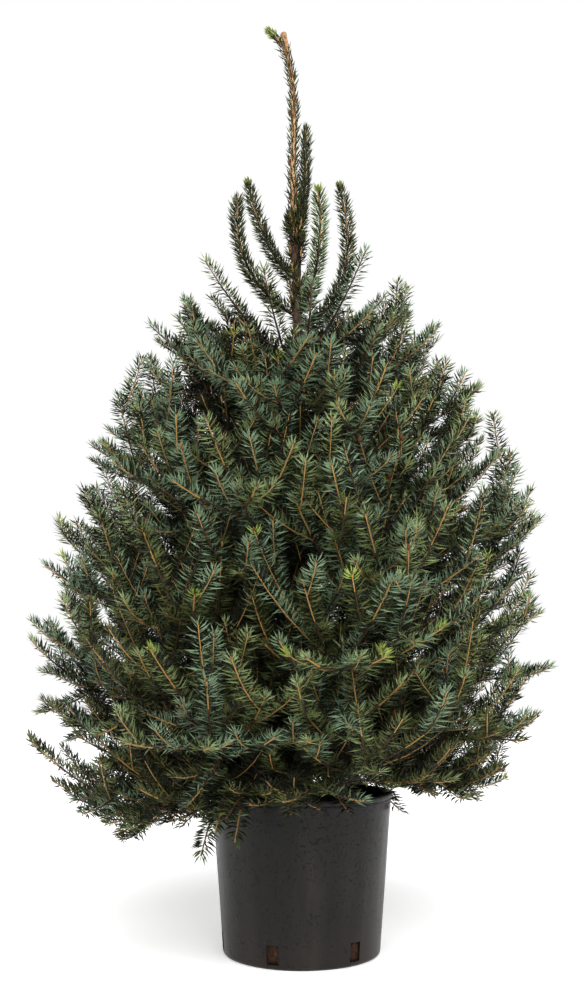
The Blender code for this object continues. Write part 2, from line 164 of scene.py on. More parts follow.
# Radii at a limb's foot, how much thinner each tier is than the one below, and the radius at the tips.
BOUGH_RADIUS = 0.0062
BOUGH_THINNER = 0.00042
BETWEEN_RADIUS = 0.0046
BETWEEN_THINNER = 0.0003
LOW_RADIUS = 0.0036
TIP_RADIUS = 0.0010
DROOPING = {"foot": 0.318, "bend": (-0.115, -0.145, 0.335), "tip": (-0.145, -0.215, 0.180)}
CROWN_SHOOTS = (
    {"name": "left_outer", "foot": 1.055, "bend": (-0.125, -0.030, 1.115), "tip": (-0.111, -0.030, 1.262)},
    {"name": "left_inner", "foot": 1.120, "bend": (-0.065, 0.035, 1.180), "tip": (-0.095, 0.040, 1.320)},
    {"name": "right_inner", "foot": 1.050, "bend": (0.045, -0.045, 1.130), "tip": (0.030, -0.050, 1.270)},
    {"name": "right_outer", "foot": 1.030, "bend": (0.120, 0.040, 1.105), "tip": (0.073, 0.045, 1.316)},
    {"name": "beside_leader", "foot": 1.215, "bend": (0.012, -0.012, 1.260), "tip": (0.009, -0.010, 1.404)},
)
# How far the needles of each of them lie along it, and the share of it that is bare.
CROWN_CLOSED = (0.50, 0.50, 0.32, 0.42, 0.75)
CROWN_BARE = 0.07
# Those that end in a tuft of fresh needles, and its length.
TUFTED = (1, 3)
CROWN_TUFT = 0.010
# Short stubs round the swollen node: how many, and how far they rise.
STUB_COUNT = 28
STUB_RISE = 0.026

# The solids' hem: its lowest height, and how fast it rises to the front and to the right.
LOWEST_FOLIAGE = 0.175
FRONT_RISE = 0.27
RIGHT_RISE = 0.12

# Side twigs leave a limb by the rule of the solids' sprays, closer together, and bear shoots in their turn.
# Their spacing, their greatest length as a share of their parent's, how they roll round it, how much more
# closely they follow it, how much they rise, their radii and the share that is bare.
TWIGS = {
    "spacing": 0.026,
    "longest": 0.52,
    "rolls_deg": (-12, 192, 88, 15, 165, 272, 50, 130),
    "closer_deg": 0,
    "lift": 0.20,
    "foot_radius": 0.0016,
    "tip_radius": 0.0010,
    "bare": 0.08,
}
SHOOTS = {
    "spacing": 0.050,
    "longest": 0.80,
    "rolls_deg": (0, 180, 10, 170, 60, 190, -10, 120),
    "closer_deg": 8,
    "lift": 0.34,
    "foot_radius": 0.0011,
    "tip_radius": 0.0008,
    "bare": 0.02,
}
# From where to where on their parent they stand, how much shorter they are at its tip, and their angles.
FIRST_ROOT = 0.14
LAST_ROOT = 0.86
SHORTENING = 0.35
SHOOT_ANGLE_DEG = 52
TIP_ANGLE_DEG = 40
SHORTEST_SHOOT = 0.035
# How much their places, lengths, angles and rolls scatter.
PLACE_JITTER = 0.25
LENGTH_SPREAD = (0.75, 1.08)
ANGLE_JITTER_DEG = 8
ROLL_JITTER_DEG = 14
# The outer shoots stand in clumps: the size of the noise that parts them, its level, and from where on.
CLUMP = 0.055
CLUMPED = 0.40
CLUMPED_BEYOND = 0.8
# How densely needles stand on side shoots, by the share of the reach at which they end.
DENSITY = ((0.50, 0.85), (0.55, 1.60))
# How much wider needles are where they stand sparsely inside: by density.
INNER_WIDTH = ((0.55, 1.10), (1.7, 1.0))

# Smaller limbs stand between the tiers, midway in height and bearing, and reach not quite as far.
BETWEEN_REACH = 0.86
BETWEEN_SPREAD = (0.88, 1.08)
BETWEEN_JITTER_DEG = 9
BETWEEN_JITTER = 0.02
# Low limbs that hang over the rim: (bearing, height of the foot, reach, height of the tip).
LOW_LIMBS = (
    (158, 0.292, 0.300, 0.192),
    (176, 0.300, 0.320, 0.198),
    (184, 0.286, 0.225, 0.200),
    (192, 0.290, 0.290, 0.188),
    (207, 0.300, 0.310, 0.200),
    (214, 0.286, 0.220, 0.208),
    (224, 0.296, 0.270, 0.225),
    (244, 0.300, 0.250, 0.232),
    (266, 0.292, 0.240, 0.240),
    (288, 0.300, 0.240, 0.256),
    (316, 0.296, 0.270, 0.262),
    (340, 0.300, 0.290, 0.250),
    (4, 0.292, 0.290, 0.232),
    (33, 0.300, 0.280, 0.225),
    (66, 0.296, 0.270, 0.215),
    (98, 0.300, 0.280, 0.205),
    (130, 0.296, 0.290, 0.200),
    (254, 0.345, 0.330, 0.325),
    (281, 0.352, 0.320, 0.345),
)
# Those whose feet are higher than this are the second tier's, and all of them arch this far.
SECOND_TIER_FOOT = 0.34
LOW_ARCH = 0.012
# Two sprigs that hang from the drooping limb: its share where they start, their tips, and how they bow.
SPRIGS = ((0.42, (-0.098, -0.196, 0.196)), (0.60, (-0.126, -0.214, 0.212)))
SPRIG_BOW = (0.0, -0.012, 0.004)
# How far side shoots may hang below the solids' hem, and only left of where.
SAG = 0.018
SAG_LEFT_OF = -0.12
# How far beyond the limbs' own tips a side shoot may end, by height, and the crown's reach below and above
# the tiers: (height, reach).
BEYOND_TIPS = ((0.85, 0.014), (1.05, -0.008))
REACH_BELOW = (0.160, 0.300)
REACH_ABOVE = ((1.190, 0.120), (1.300, 0.090))
# The highest that they may end, how much lower by the trunk on each side, and how it falls to the front.
CEILING = 1.145
HOLLOW_RADIUS = 0.17
HOLLOW_LEFT = 0.155
HOLLOW_RIGHT = 0.125
FRONT_FALL = 0.75

# Needle tints, each with the green of the upper side and the paler, blue-grey one of the underside.
TINTS = (
    # The first tint is dark: old needles, and on shoots deep inside also painted shade.
    ("dark_old_and_shaded", "#13180B", "#242A17"),
    ("blue_green", "#252E1A", "#7F9578"),
    ("mid_green", "#2E3719", "#7D8B5B"),
    ("fresh_tip", "#4B5832", "#8F9F74"),
    ("lime_tuft", "#7F8F3A", "#9AAA55"),
    ("olive", "#2F3718", "#62693B"),
)
INNER, BLUE, MID, FRESH, LIME, OLIVE = range(6)
DEALT = -1
# The tints of the crown's five shoots.
CROWN_TINTS = (OLIVE, OLIVE, FRESH, OLIVE, OLIVE)
# The share of dark old needles on every shoot, and the length of a shoot's tip that has a tint of its own.
OLD_SHARE = 0.46
CROWN_OLD_SHARE = 0.15
TIP_LENGTH = 0.009
# Shoots that end within this share of the reach are dark, and half of those within the next.
# Their dark tint is painted shade of the crown's inside, with the darker old needles there.
SHADED_INSIDE_WITHIN = 0.58
HALF_SHADED_INSIDE_WITHIN = 0.76
# The chance above which a shoot is fresh, and the shares of lime tufts in the tiers and in the crown.
FRESH_ABOVE = 0.96
LIME_SHARE = 0.04
CROWN_LIME_SHARE = 0.3
# The share of blue-green shoots, by tier from the lowest up.
BLUE_SHARE = ((0, 5), (0.25, 0.55))
# The chance above which a shoot is olive, by tier: the low ones are.
OLIVE_ABOVE = ((0, 4), (0.50, 1.0))

# The angle of needles to their shoot, how much less it is at the shoot's tip, over how long, and on top.
NEEDLE_ANGLE_DEG = 74.0
TIP_CLOSES_DEG = 40.0
TIP_CLOSES_OVER = 0.012
TOP_CLOSES_DEG = 12.0
# How needles stand: the golden angle in radians, how far round they reach from the top, how closely they
# gather there, how much their angles scatter, and the share of stray ones.
GOLDEN_TURN = 2.39996
COMB_WIDEST_DEG = 112.0
COMB_POWER = 0.68
SCATTER_DEG = 6.0
STRAY_DEG = 18.0
STRAY_SHARE = 0.12

# Softboxes: (name, place, turn, width, share of the power), and suns: (name, turn, share of the key).
SOFTBOXES = (
    ("softbox_left", (-1.9, -1.2, 1.7), (60.0, 0.0, -58.0), 1.0, 0.5),
    ("softbox_right", (1.9, -1.4, 1.7), (60.0, 0.0, 53.0), 1.2, 0.85),
    ("softbox_back_left", (-1.9, 1.6, 1.4), (65.0, 0.0, -130.0), 1.0, 0.6),
    ("softbox_back_right", (1.9, 1.6, 1.4), (65.0, 0.0, 130.0), 1.0, 0.3),
)
SUNS = (("diffused_key", (48, 0, 2), 1.0), ("diffused_back", (52, 0, 160), 0.3))
SUN_SPREAD_DEG = 50.0
# The span of distances from the pot over which the table's glow changes.
GLOW_FROM = 0.8
GLOW_TO = 3.0
# The camera, fitted to the photograph.
CAMERA_SENSOR = 36.0
CAMERA_LENS = 39.13
CAMERA_PLACE = (-0.0130, -1.83, 0.4305)
CAMERA_TILT_DEG = 99.3
VIEW_GAMMA = 0.85
WHITE = (1.0, 1.0, 1.0, 1.0)
UP = np.array([0.0, 0.0, 1.0])


def linear(hex_colour):
    """The linear RGBA of an sRGB hex colour: the standard curve, a line near black and a power above it."""
    values = [int(hex_colour[i : i + 2], 16) / 255.0 for i in (1, 3, 5)]
    return tuple(v / 12.92 if v <= 0.04045 else ((v + 0.055) / 1.055) ** 2.4 for v in values) + (1.0,)


class SprucePot(bpy.types.PropertyGroup):
    """Sizes and colour of the pot."""

    wave: FloatProperty(
        name="Wall wave", description="How far the moulded wall wanders", default=0.00035, subtype="DISTANCE"
    )
    sides: IntProperty(name="Sides", description="Faces round the wall", default=240, min=48)
    colour: FloatVectorProperty(
        name="Plastic", description="Colour of the pot", subtype="COLOR", size=4, default=linear("#1D1A19")
    )


class SpruceNeedles(bpy.types.PropertyGroup):
    """Sizes and number of the needles."""

    length: FloatProperty(
        name="Length", description="Length of a full needle", default=0.0235, subtype="DISTANCE"
    )
    width: FloatProperty(
        name="Width", description="Width of a full needle", default=0.0023, subtype="DISTANCE"
    )
    thickness: FloatProperty(
        name="Thickness", description="Height of a needle's ridge", default=0.0007, subtype="DISTANCE"
    )
    number: IntProperty(name="Number", description="About how many needles grow", default=240000, min=1000)


class SpruceStage(bpy.types.PropertyGroup):
    """The floor and the lights."""

    floor: FloatProperty(name="Floor", description="Half the floor's width", default=12.0, subtype="DISTANCE")
    softbox_watts: FloatProperty(
        name="Softboxes", description="Power of a softbox of full share", default=26.0, unit="POWER"
    )
    key: FloatProperty(name="Key", description="Strength of the diffused key light", default=3.3)
    fill: FloatProperty(name="Fill", description="Strength of the light from the white room", default=0.05)
    near_glow: FloatProperty(name="Glow near", description="Light of the table top by the pot", default=0.28)
    far_glow: FloatProperty(name="Glow far", description="Light of the table top far away", default=0.50)


def unit(vectors):
    """Each vector over its own length."""
    return vectors / np.maximum(np.linalg.norm(vectors, axis=-1, keepdims=True), 1e-12)


def outward(turn):
    """Level unit vectors at bearings in radians."""
    return np.stack([np.cos(turn), np.sin(turn), np.zeros(len(turn))], -1)


def counted(number):
    """For a count in each row: the row of every item, and the item's place among those of its row."""
    row = np.repeat(np.arange(len(number)), number)
    return row, np.arange(number.sum()) - np.repeat(np.cumsum(number) - number, number)


def noise(points, cell, seed):
    """Smooth random values from -1 to 1 at points.

    Each corner of a lattice of cells has a hashed value, and a point blends its cell's eight corners by the
    smooth step 3f^2 - 2f^3 of its place f between them.
    """
    places = np.asarray(points) / cell
    low = np.floor(places).astype(np.int64)
    part = places - low
    part = part * part * (3.0 - 2.0 * part)
    total = np.zeros(places.shape[:-1])
    for corner in itertools.product((0, 1), repeat=3):
        at = low + np.array(corner)
        mixed = at[..., 0] * 73856093 ^ at[..., 1] * 19349663 ^ at[..., 2] * 83492791 ^ seed * 40503
        mixed = (mixed ^ (mixed >> 13)) * 1274126177 & 0x7FFFFFFF
        value = ((mixed ^ (mixed >> 15)) & 0xFFFF) / 32767.5 - 1.0
        total += value * np.prod(np.where(corner, part, 1.0 - part), axis=-1)
    return total


def rough(points, cell, seed, octaves=3):
    """Noise on noise: each octave has half the cell and half the height of the one before."""
    return sum(noise(points, cell / 2**k, seed + k) / 2**k for k in range(octaves))


def piece(name, points, faces, finishes, which=None, smooth=True):
    """Puts arrays into a mesh object on the body: points (n, 3), faces (m, 3 or 4) and each face's finish."""
    faces = np.asarray(faces, np.int32)
    corners = faces.shape[1]
    mesh = bpy.data.meshes.new(name)
    mesh.vertices.add(len(points))
    mesh.vertices.foreach_set("co", np.asarray(points, np.float32).ravel())
    mesh.loops.add(faces.size)
    mesh.loops.foreach_set("vertex_index", faces.ravel())
    mesh.polygons.add(len(faces))
    mesh.polygons.foreach_set("loop_start", np.arange(len(faces), dtype=np.int32) * corners)
    for finish in finishes:
        mesh.materials.append(finish)
    if which is not None:
        mesh.polygons.foreach_set("material_index", np.asarray(which, np.int32))
    mesh.polygons.foreach_set("use_smooth", np.full(len(faces), smooth))
    mesh.update(calc_edges=True)
    made = bpy.data.objects.new(name, mesh)
    bpy.context.scene.collection.objects.link(made)
    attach(made, BODY)
    return made


def grid_faces(rows, columns, closed=True):
    """Quads of a grid of points numbered row by row. With closed, the last column joins the first."""
    down, across = np.indices((rows - 1, columns if closed else columns - 1))
    right = (across + 1) % columns
    quads = np.stack([down * columns + across, down * columns + right], -1)
    quads = np.concatenate([quads, quads[..., ::-1] + columns], -1)
    return quads.reshape(-1, 4)


def triangles(quads):
    """Each quad as two triangles."""
    return np.concatenate([quads[:, [0, 1, 2]], quads[:, [0, 2, 3]]])


def tube_topology(rings, sides):
    """Triangles of one tube and the ring that each starts from. A foot and a tip point follow the rings."""
    walls = triangles(grid_faces(rings, sides))
    corner = np.arange(sides)
    following = (corner + 1) % sides
    foot = np.stack([np.full(sides, rings * sides), following, corner], -1)
    last = (rings - 1) * sides
    tip = np.stack([np.full(sides, rings * sides + 1), last + corner, last + following], -1)
    faces = np.concatenate([walls, foot, tip])
    return faces, np.minimum(faces.min(axis=1) // sides, rings - 1)


def tubes(centres, radii, sides, swell=None):
    """Closed tubes along paths: centres (tubes, rings, 3) and radii (tubes, rings).

    Corner k of a ring is centre + radius (cos a side + sin a over) with a = 2 pi k / sides, and side and over
    are square to the path. A point closes each end. swell(points, out) may move the corners outwards.
    """
    count, rings = radii.shape
    ahead = unit(np.gradient(centres, axis=1))
    mean = unit(centres[:, -1] - centres[:, 0])
    steep = np.abs(mean[:, 2:3]) > 0.92
    reference = np.where(steep, [[1.0, 0.0, 0.0]], [[0.0, 0.0, 1.0]])[:, None, :]
    side = unit(np.cross(ahead, reference))
    over = np.cross(side, ahead)
    angle = 2.0 * np.pi * np.arange(sides) / sides
    out = np.cos(angle)[:, None] * side[:, :, None, :] + np.sin(angle)[:, None] * over[:, :, None, :]
    walls = centres[:, :, None, :] + radii[:, :, None, None] * out
    if swell is not None:
        walls = walls + swell(walls, out)[..., None] * out
    foot = centres[:, :1] - ahead[:, :1] * radii[:, :1, None] * 0.5
    tip = centres[:, -1:] + ahead[:, -1:] * radii[:, -1:, None] * 0.8
    points = np.concatenate([walls.reshape(count, rings * sides, 3), foot, tip], axis=1)
    faces, ring = tube_topology(rings, sides)
    faces = faces[None] + (np.arange(count) * (rings * sides + 2))[:, None, None]
    return points.reshape(-1, 3), faces.reshape(-1, 3)[:, ::-1], np.tile(ring, count)


# The limbs and the shoots that grow on from them.


def trunk_at(height):
    """The trunk's middle and radius at heights, read between its stations."""
    stations = np.array(TRUNK_STATIONS)
    lean = np.interp(height, stations[:, 0], stations[:, 1])
    radius = np.interp(height, stations[:, 0], stations[:, 2])
    return np.stack([lean, np.zeros_like(lean), np.asarray(height, float)], -1), radius


def hem(points):
    """The lowest height that foliage may reach at places: it rises to the front and to the right."""
    front, right = np.maximum(0.0, -points[:, 1]), np.maximum(0.0, points[:, 0])
    return LOWEST_FOLIAGE + FRONT_RISE * front + RIGHT_RISE * right


def level_distance(points):
    """How far points are from the Z axis."""
    return np.hypot(points[:, 0], points[:, 1])


def shoots_of(start, bend, end, **facts):
    """A table of shoots: each is the quadratic curve start (1-t)^2 + bend 2t(1-t) + end t^2, with its facts.

    The facts are the tier, the level, the radii, the share that is bare, how far needles stand all round
    (around) and lie along the shoot (closed), their size, how dense they are and their tint.
    """
    table = {"start": np.array(start, float), "bend": np.array(bend, float), "end": np.array(end, float)}
    table["length"] = np.linalg.norm(np.diff(paths(table, 9)[0], axis=1), axis=-1).sum(axis=1)
    usual = {"bare": 0.0, "around": 0.0, "closed": 0.0, "size": 1.0, "dense": 1.0, "tint": DEALT}
    for name, value in (usual | facts).items():
        table[name] = np.broadcast_to(np.asarray(value), table["length"].shape).copy()
    return table


def chosen(table, rows):
    """Some rows of a table of shoots."""
    return {name: value[rows] for name, value in table.items()}


def paths(table, rings):
    """The middles of rings evenly along every shoot, the shares where they stand, and the shoots' number."""
    share = np.linspace(0.0, 1.0, rings)
    count = len(table["start"])
    return curve(table, np.arange(count)[:, None], share[None, :]), share, count


def joined(tables):
    """Several tables of shoots as one."""
    return {name: np.concatenate([table[name] for table in tables]) for name in tables[0]}


def curve(table, row, share):
    """Points of shoots at shares of their curves."""
    t = np.asarray(share)[..., None]
    start, bend, end = (table[name][row] for name in ("start", "bend", "end"))
    return start * (1 - t) ** 2 + bend * 2 * t * (1 - t) + end * t**2


def heading(table, row, share):
    """Unit tangents of shoots at shares: the curve's derivative."""
    t = np.asarray(share)[..., None]
    start, bend, end = (table[name][row] for name in ("start", "bend", "end"))
    return unit((bend - start) * (1 - t) + (end - bend) * t)


def limbs():
    """Every limb by the solids' rule, with the number of its tier: the drooping one counts to the lowest."""
    rule = random.Random(SEED)
    rows = []
    for t, (foot, reach, tip, late, left_longer) in enumerate(TIERS):
        for k in range(TIER_LIMBS):
            turn = TIER_TURNS_DEG[t] + 360.0 * k / TIER_LIMBS + rule.uniform(-1, 1) * BEARING_JITTER_DEG
            out = np.array([math.cos(math.radians(turn)), math.sin(math.radians(turn)), 0.0])
            out *= reach * (1.0 - left_longer * out[0]) * (1.0 + rule.uniform(-1, 1) * REACH_JITTER)
            start = trunk_at(foot + rule.uniform(-FOOT_JITTER, FOOT_JITTER))[0]
            rise = max(tip - foot, float(hem((start + out)[None])[0]) + TIP_ABOVE_HEM - foot)
            bend = start + out * LIMB_BEND + UP * (rise * 0.5 * (1.0 - late))
            rows.append((start, bend, start + out + UP * rise, t))
    rows.append((trunk_at(DROOPING["foot"])[0], DROOPING["bend"], DROOPING["tip"], 0))
    start, bend, end, tier = zip(*rows)
    tier = np.array(tier)
    tint = np.where(np.arange(len(tier)) == len(tier) - 1, MID, DEALT)
    facts = {"foot_radius": BOUGH_RADIUS - BOUGH_THINNER * tier, "tip_radius": TIP_RADIUS, "bare": 0.26}
    return shoots_of(start, bend, end, tier=tier, level=0, dense=LIMB_DENSE, tint=tint, **facts)


def limbs_between():
    """The smaller limbs between the tiers: each pair's middle values, turned to the middle of the gaps."""
    rule = np.random.default_rng(SEED + 1)
    tiers = np.array(TIERS)
    foot, reach, tip, late, longer = ((tiers[:-1] + tiers[1:]) / 2.0).T
    turns = np.array(TIER_TURNS_DEG, float)
    ahead = np.mod(turns[1:] - turns[:-1], 90.0)
    middle = turns[:-1] + ahead / 2.0 + 45.0
    tier = np.repeat(np.arange(len(foot)), TIER_LIMBS)
    turn = middle[tier] + 90.0 * np.tile(np.arange(TIER_LIMBS), len(foot))
    out = outward(np.radians(turn + rule.uniform(-BETWEEN_JITTER_DEG, BETWEEN_JITTER_DEG, len(tier))))
    far = BETWEEN_REACH * reach[tier] * (1.0 - longer[tier] * out[:, 0])
    out *= (far * rule.uniform(*BETWEEN_SPREAD, len(tier)))[:, None]
    start = trunk_at(foot[tier] + rule.uniform(-BETWEEN_JITTER, BETWEEN_JITTER, len(tier)))[0]
    rise = np.maximum(tip[tier] - foot[tier], hem(start + out) + TIP_ABOVE_HEM - foot[tier])
    bend = start + out * LIMB_BEND + UP * (rise * 0.5 * (1.0 - late[tier]))[:, None]
    end = start + out + UP * rise[:, None]
    facts = {"foot_radius": BETWEEN_RADIUS - BETWEEN_THINNER * tier, "tip_radius": TIP_RADIUS, "bare": 0.22}
    return shoots_of(start, bend, end, tier=tier, level=0, **facts)


def limbs_low():
    """The low limbs: they leave the trunk level and sag to their tips. The highest are the second tier's."""
    turn, foot, reach, tip = np.array(LOW_LIMBS).T
    out = outward(np.radians(turn)) * reach[:, None]
    start = trunk_at(foot)[0]
    end = start + out
    end[:, 2] = tip
    bend = start + out * LIMB_BEND + UP * LOW_ARCH
    tier = np.where(foot > SECOND_TIER_FOOT, 1, 0)
    facts = {"foot_radius": LOW_RADIUS, "tip_radius": TIP_RADIUS, "bare": 0.3}
    return shoots_of(start, bend, end, tier=tier, level=0, **facts)


def sprigs():
    """The sprigs on the drooping limb, which is the last of the solids' own."""
    share, tips = zip(*SPRIGS)
    start = curve(limbs(), np.full(len(share), -1), np.array(share))
    tips = np.array(tips)
    bend = (start + tips) / 2.0 + SPRIG_BOW
    facts = {"foot_radius": TWIGS["foot_radius"], "tip_radius": TIP_RADIUS, "bare": 0.1, "tint": MID}
    return shoots_of(start, bend, tips, tier=0, level=1, **facts)


def axes():
    """All limbs: the solids' own, those between the tiers and the low ones."""
    return joined([limbs(), limbs_between(), limbs_low()])


def ceiling(points):
    """The highest that side shoots may end: hollow round the trunk, more on the left, and lower in front."""
    hollow = np.where(points[:, 0] < 0.0, HOLLOW_LEFT, HOLLOW_RIGHT)
    share = np.minimum(1.0, level_distance(points) / HOLLOW_RADIUS)
    return CEILING - hollow * (1.0 - share**2) + FRONT_FALL * np.minimum(0.0, points[:, 1])


def reach_at(points):
    """How far from the trunk shoots may end: the reach of the limbs' tips, read between the tiers."""
    tiers = np.array(TIERS)
    top_heights, top_reach = zip(*REACH_ABOVE)
    heights = np.concatenate([[REACH_BELOW[0]], tiers[:, 2], top_heights])
    reach = np.concatenate([[REACH_BELOW[1]], tiers[:, 1], top_reach])
    longer = np.concatenate([[tiers[0, 4]], tiers[:, 4], [0.0] * len(top_heights)])
    radius = np.maximum(level_distance(points), 1e-6)
    uneven = 1.0 - np.interp(points[:, 2], heights, longer) * points[:, 0] / radius
    beyond_heights, beyond = zip(*BEYOND_TIPS)
    return np.interp(points[:, 2], heights, reach) * uneven + np.interp(points[:, 2], beyond_heights, beyond)


def offshoots(parents, level, rule, spacing, longest, rolls_deg, closer_deg, lift, **facts):
    """Side shoots of a table of shoots.

    They stand evenly from FIRST_ROOT to LAST_ROOT of their parent and leave it at an angle that closes to its
    tip, each rolled round it by the next roll. A shoot's length is a share of its parent's that shortens
    towards the tip, and it is cut to stay within the crown's reach. Those that are too short, hang below the
    hem, stand above the ceiling or would close the gaps between clumps are dropped.
    """
    number = np.maximum(1, np.round(parents["length"] * (LAST_ROOT - FIRST_ROOT) / spacing)).astype(int)
    row, order = counted(number)
    along = (order + rule.uniform(-PLACE_JITTER, PLACE_JITTER, len(row))) / np.maximum(number - 1, 1)[row]
    along = np.clip(along, 0.0, 1.0)
    share = FIRST_ROOT + (LAST_ROOT - FIRST_ROOT) * along
    length = longest * parents["length"][row] * (1.0 - SHORTENING * along)
    length *= rule.uniform(*LENGTH_SPREAD, len(row))
    angle = SHOOT_ANGLE_DEG + (TIP_ANGLE_DEG - SHOOT_ANGLE_DEG) * along - closer_deg
    angle = np.radians(angle + rule.uniform(-ANGLE_JITTER_DEG, ANGLE_JITTER_DEG, len(row)))
    first = rule.integers(0, len(rolls_deg), len(number))[row]
    roll = np.array(rolls_deg)[(order + first) % len(rolls_deg)]
    roll = np.radians(roll + rule.uniform(-ROLL_JITTER_DEG, ROLL_JITTER_DEG, len(row)))
    start = curve(parents, row, share)
    ahead = heading(parents, row, share)
    across = unit(np.cross(ahead, UP))
    over = np.cross(across, ahead)
    sideways = np.cos(roll)[:, None] * across + np.sin(roll)[:, None] * over
    way = unit(np.cos(angle)[:, None] * ahead + np.sin(angle)[:, None] * sideways)
    # A shoot that is cut ends at another height, where the reach differs, so it is cut twice.
    for _ in range(2):
        end = start + (way + UP * lift) * length[:, None]
        inner, outer = level_distance(start), level_distance(end)
        room = (reach_at(end) - inner) / np.maximum(outer - inner, 1e-6)
        length = np.where(outer > reach_at(end), length * np.clip(room, 0.0, 1.0), length)
    end = start + (way + UP * lift) * length[:, None]
    bend = start + way * length[:, None] * LIMB_BEND
    out_share = level_distance(end) / reach_at(end)
    facts = facts | {"tier": parents["tier"][row], "level": level, "dense": np.interp(out_share, *DENSITY)}
    grown = shoots_of(start, bend, end, **facts)
    parted = (out_share > CLUMPED_BEYOND) & (noise(end, CLUMP, 17) < -CLUMPED) & (level == 2)
    lowest = hem(end) - SAG * (end[:, 0] < SAG_LEFT_OF)
    within = (end[:, 2] > lowest) & (end[:, 2] < ceiling(end))
    return chosen(grown, (length > SHORTEST_SHOOT) & within & ~parted)


def crown():
    """The upright shoots round the leader's foot, needled all round, and the stubs above the swollen node."""
    start = trunk_at(np.array([shoot["foot"] for shoot in CROWN_SHOOTS]))[0]
    bend = [shoot["bend"] for shoot in CROWN_SHOOTS]
    end = [shoot["tip"] for shoot in CROWN_SHOOTS]
    facts = {"tier": len(TIERS), "level": 1, "foot_radius": 0.0030, "tip_radius": 0.0019, "around": 1.0}
    lying = {"bare": CROWN_BARE, "closed": CROWN_CLOSED, "dense": 2.6, "tint": CROWN_TINTS}
    tall = shoots_of(start, bend, end, **lying, **facts)

    # Half of the stubs crowd above the swollen node, and the others stand scattered down the trunk below it.
    rule = np.random.default_rng(SEED + 2)
    order = np.arange(STUB_COUNT)
    below = order - STUB_COUNT // 2
    out = outward(GOLDEN_TURN * order + rule.uniform(-0.2, 0.2, STUB_COUNT))
    height = np.where(below < 0, 1.232 - 0.022 * (order % 3), 1.195 - 0.011 * below)
    foot, radius = trunk_at(height + rule.uniform(-0.008, 0.008, STUB_COUNT))
    start = foot + out * radius[:, None] * 0.5
    end = start + out * rule.uniform(0.006, 0.016, (STUB_COUNT, 1)) + UP * STUB_RISE
    tint = np.where(order % 3 == 0, INNER, OLIVE)
    stubs = shoots_of(start, start + out * 0.008, end, closed=0.6, size=0.8, dense=1.3, tint=tint, **facts)
    return joined([tall, stubs])


def leader():
    """The leader as a short length for each of the trunk's last stations, with sparse needles close to it."""
    points, radius = trunk_at(np.array([s[0] for s in TRUNK_STATIONS if s[0] >= LEADER_FOOT]))
    start, end = points[:-1], points[1:]
    facts = {"tier": len(TIERS), "level": 3, "foot_radius": radius[:-1], "tip_radius": radius[1:]}
    needled = {"around": 1.0, "closed": 0.74, "size": 0.9, "dense": 1.4, "tint": OLIVE}
    return shoots_of(start, (start + end) / 2.0, end, **needled, **facts)


def tufts():
    """Tufts of fresh needles at the tips of the leader and of two of the crown's shoots."""
    leader_tips = [trunk_at(TRUNK_STATIONS[k][0])[0] for k in (-2, -1)]
    pairs = [leader_tips] + [(CROWN_SHOOTS[k]["bend"], CROWN_SHOOTS[k]["tip"]) for k in TUFTED]
    before, tip = np.array([pair[0] for pair in pairs]), np.array([pair[1] for pair in pairs])
    end = tip + unit(tip - before) * np.array([LEADER_TUFT] + [CROWN_TUFT] * len(TUFTED))[:, None]
    facts = {"tier": len(TIERS), "level": 1, "foot_radius": 0.0022, "tip_radius": 0.0014, "tint": LIME}
    return shoots_of(tip, (tip + end) / 2.0, end, around=1.0, closed=0.15, size=0.6, dense=4.0, **facts)


def skeleton():
    """All shoots as one table: limbs (level 0), side twigs (1), their shoots (2), crown and leader."""
    rule = np.random.default_rng(SEED)
    boughs = axes()
    twigs = offshoots(boughs, 1, rule, **TWIGS)
    shoots = offshoots(twigs, 2, rule, **SHOOTS)
    return joined([boughs, twigs, shoots, sprigs(), crown(), tufts(), leader()])


# Finishes.


def add_node(tree, kind, settings=None):
    """Adds a node and gives its outputs.

    A setting is the node's own, or the value of a socket or the source that the socket reads.
    """
    node = tree.nodes.new("ShaderNode" + kind)
    for key, value in (settings or {}).items():
        if isinstance(value, bpy.types.NodeSocket):
            tree.links.new(value, node.inputs[key])
        elif isinstance(key, str) and key in node.bl_rna.properties:
            setattr(node, key, value)
        else:
            node.inputs[key].default_value = value
    return node.outputs


def finish_of(name, base, roughness, **more):
    """A Principled finish and its tree and shader, with plain values on the shader's own sockets."""
    made = bpy.data.materials.new(name)
    made.use_nodes = True
    tree = made.node_tree
    shader = tree.nodes["Principled BSDF"]
    shader.inputs["Base Color"].default_value = base
    shader.inputs["Roughness"].default_value = roughness
    for socket, value in more.items():
        shader.inputs[socket.replace("_", " ")].default_value = value
    return made, tree, shader


def plain(name, hex_colour, roughness, **more):
    """A finish of one colour."""
    return finish_of(name, linear(hex_colour), roughness, **more)[0]


def plain_set(name, colours, roughness):
    """Plain finishes, one for each named colour."""
    return [plain(name + kind, colour, roughness) for kind, colour in colours.items()]


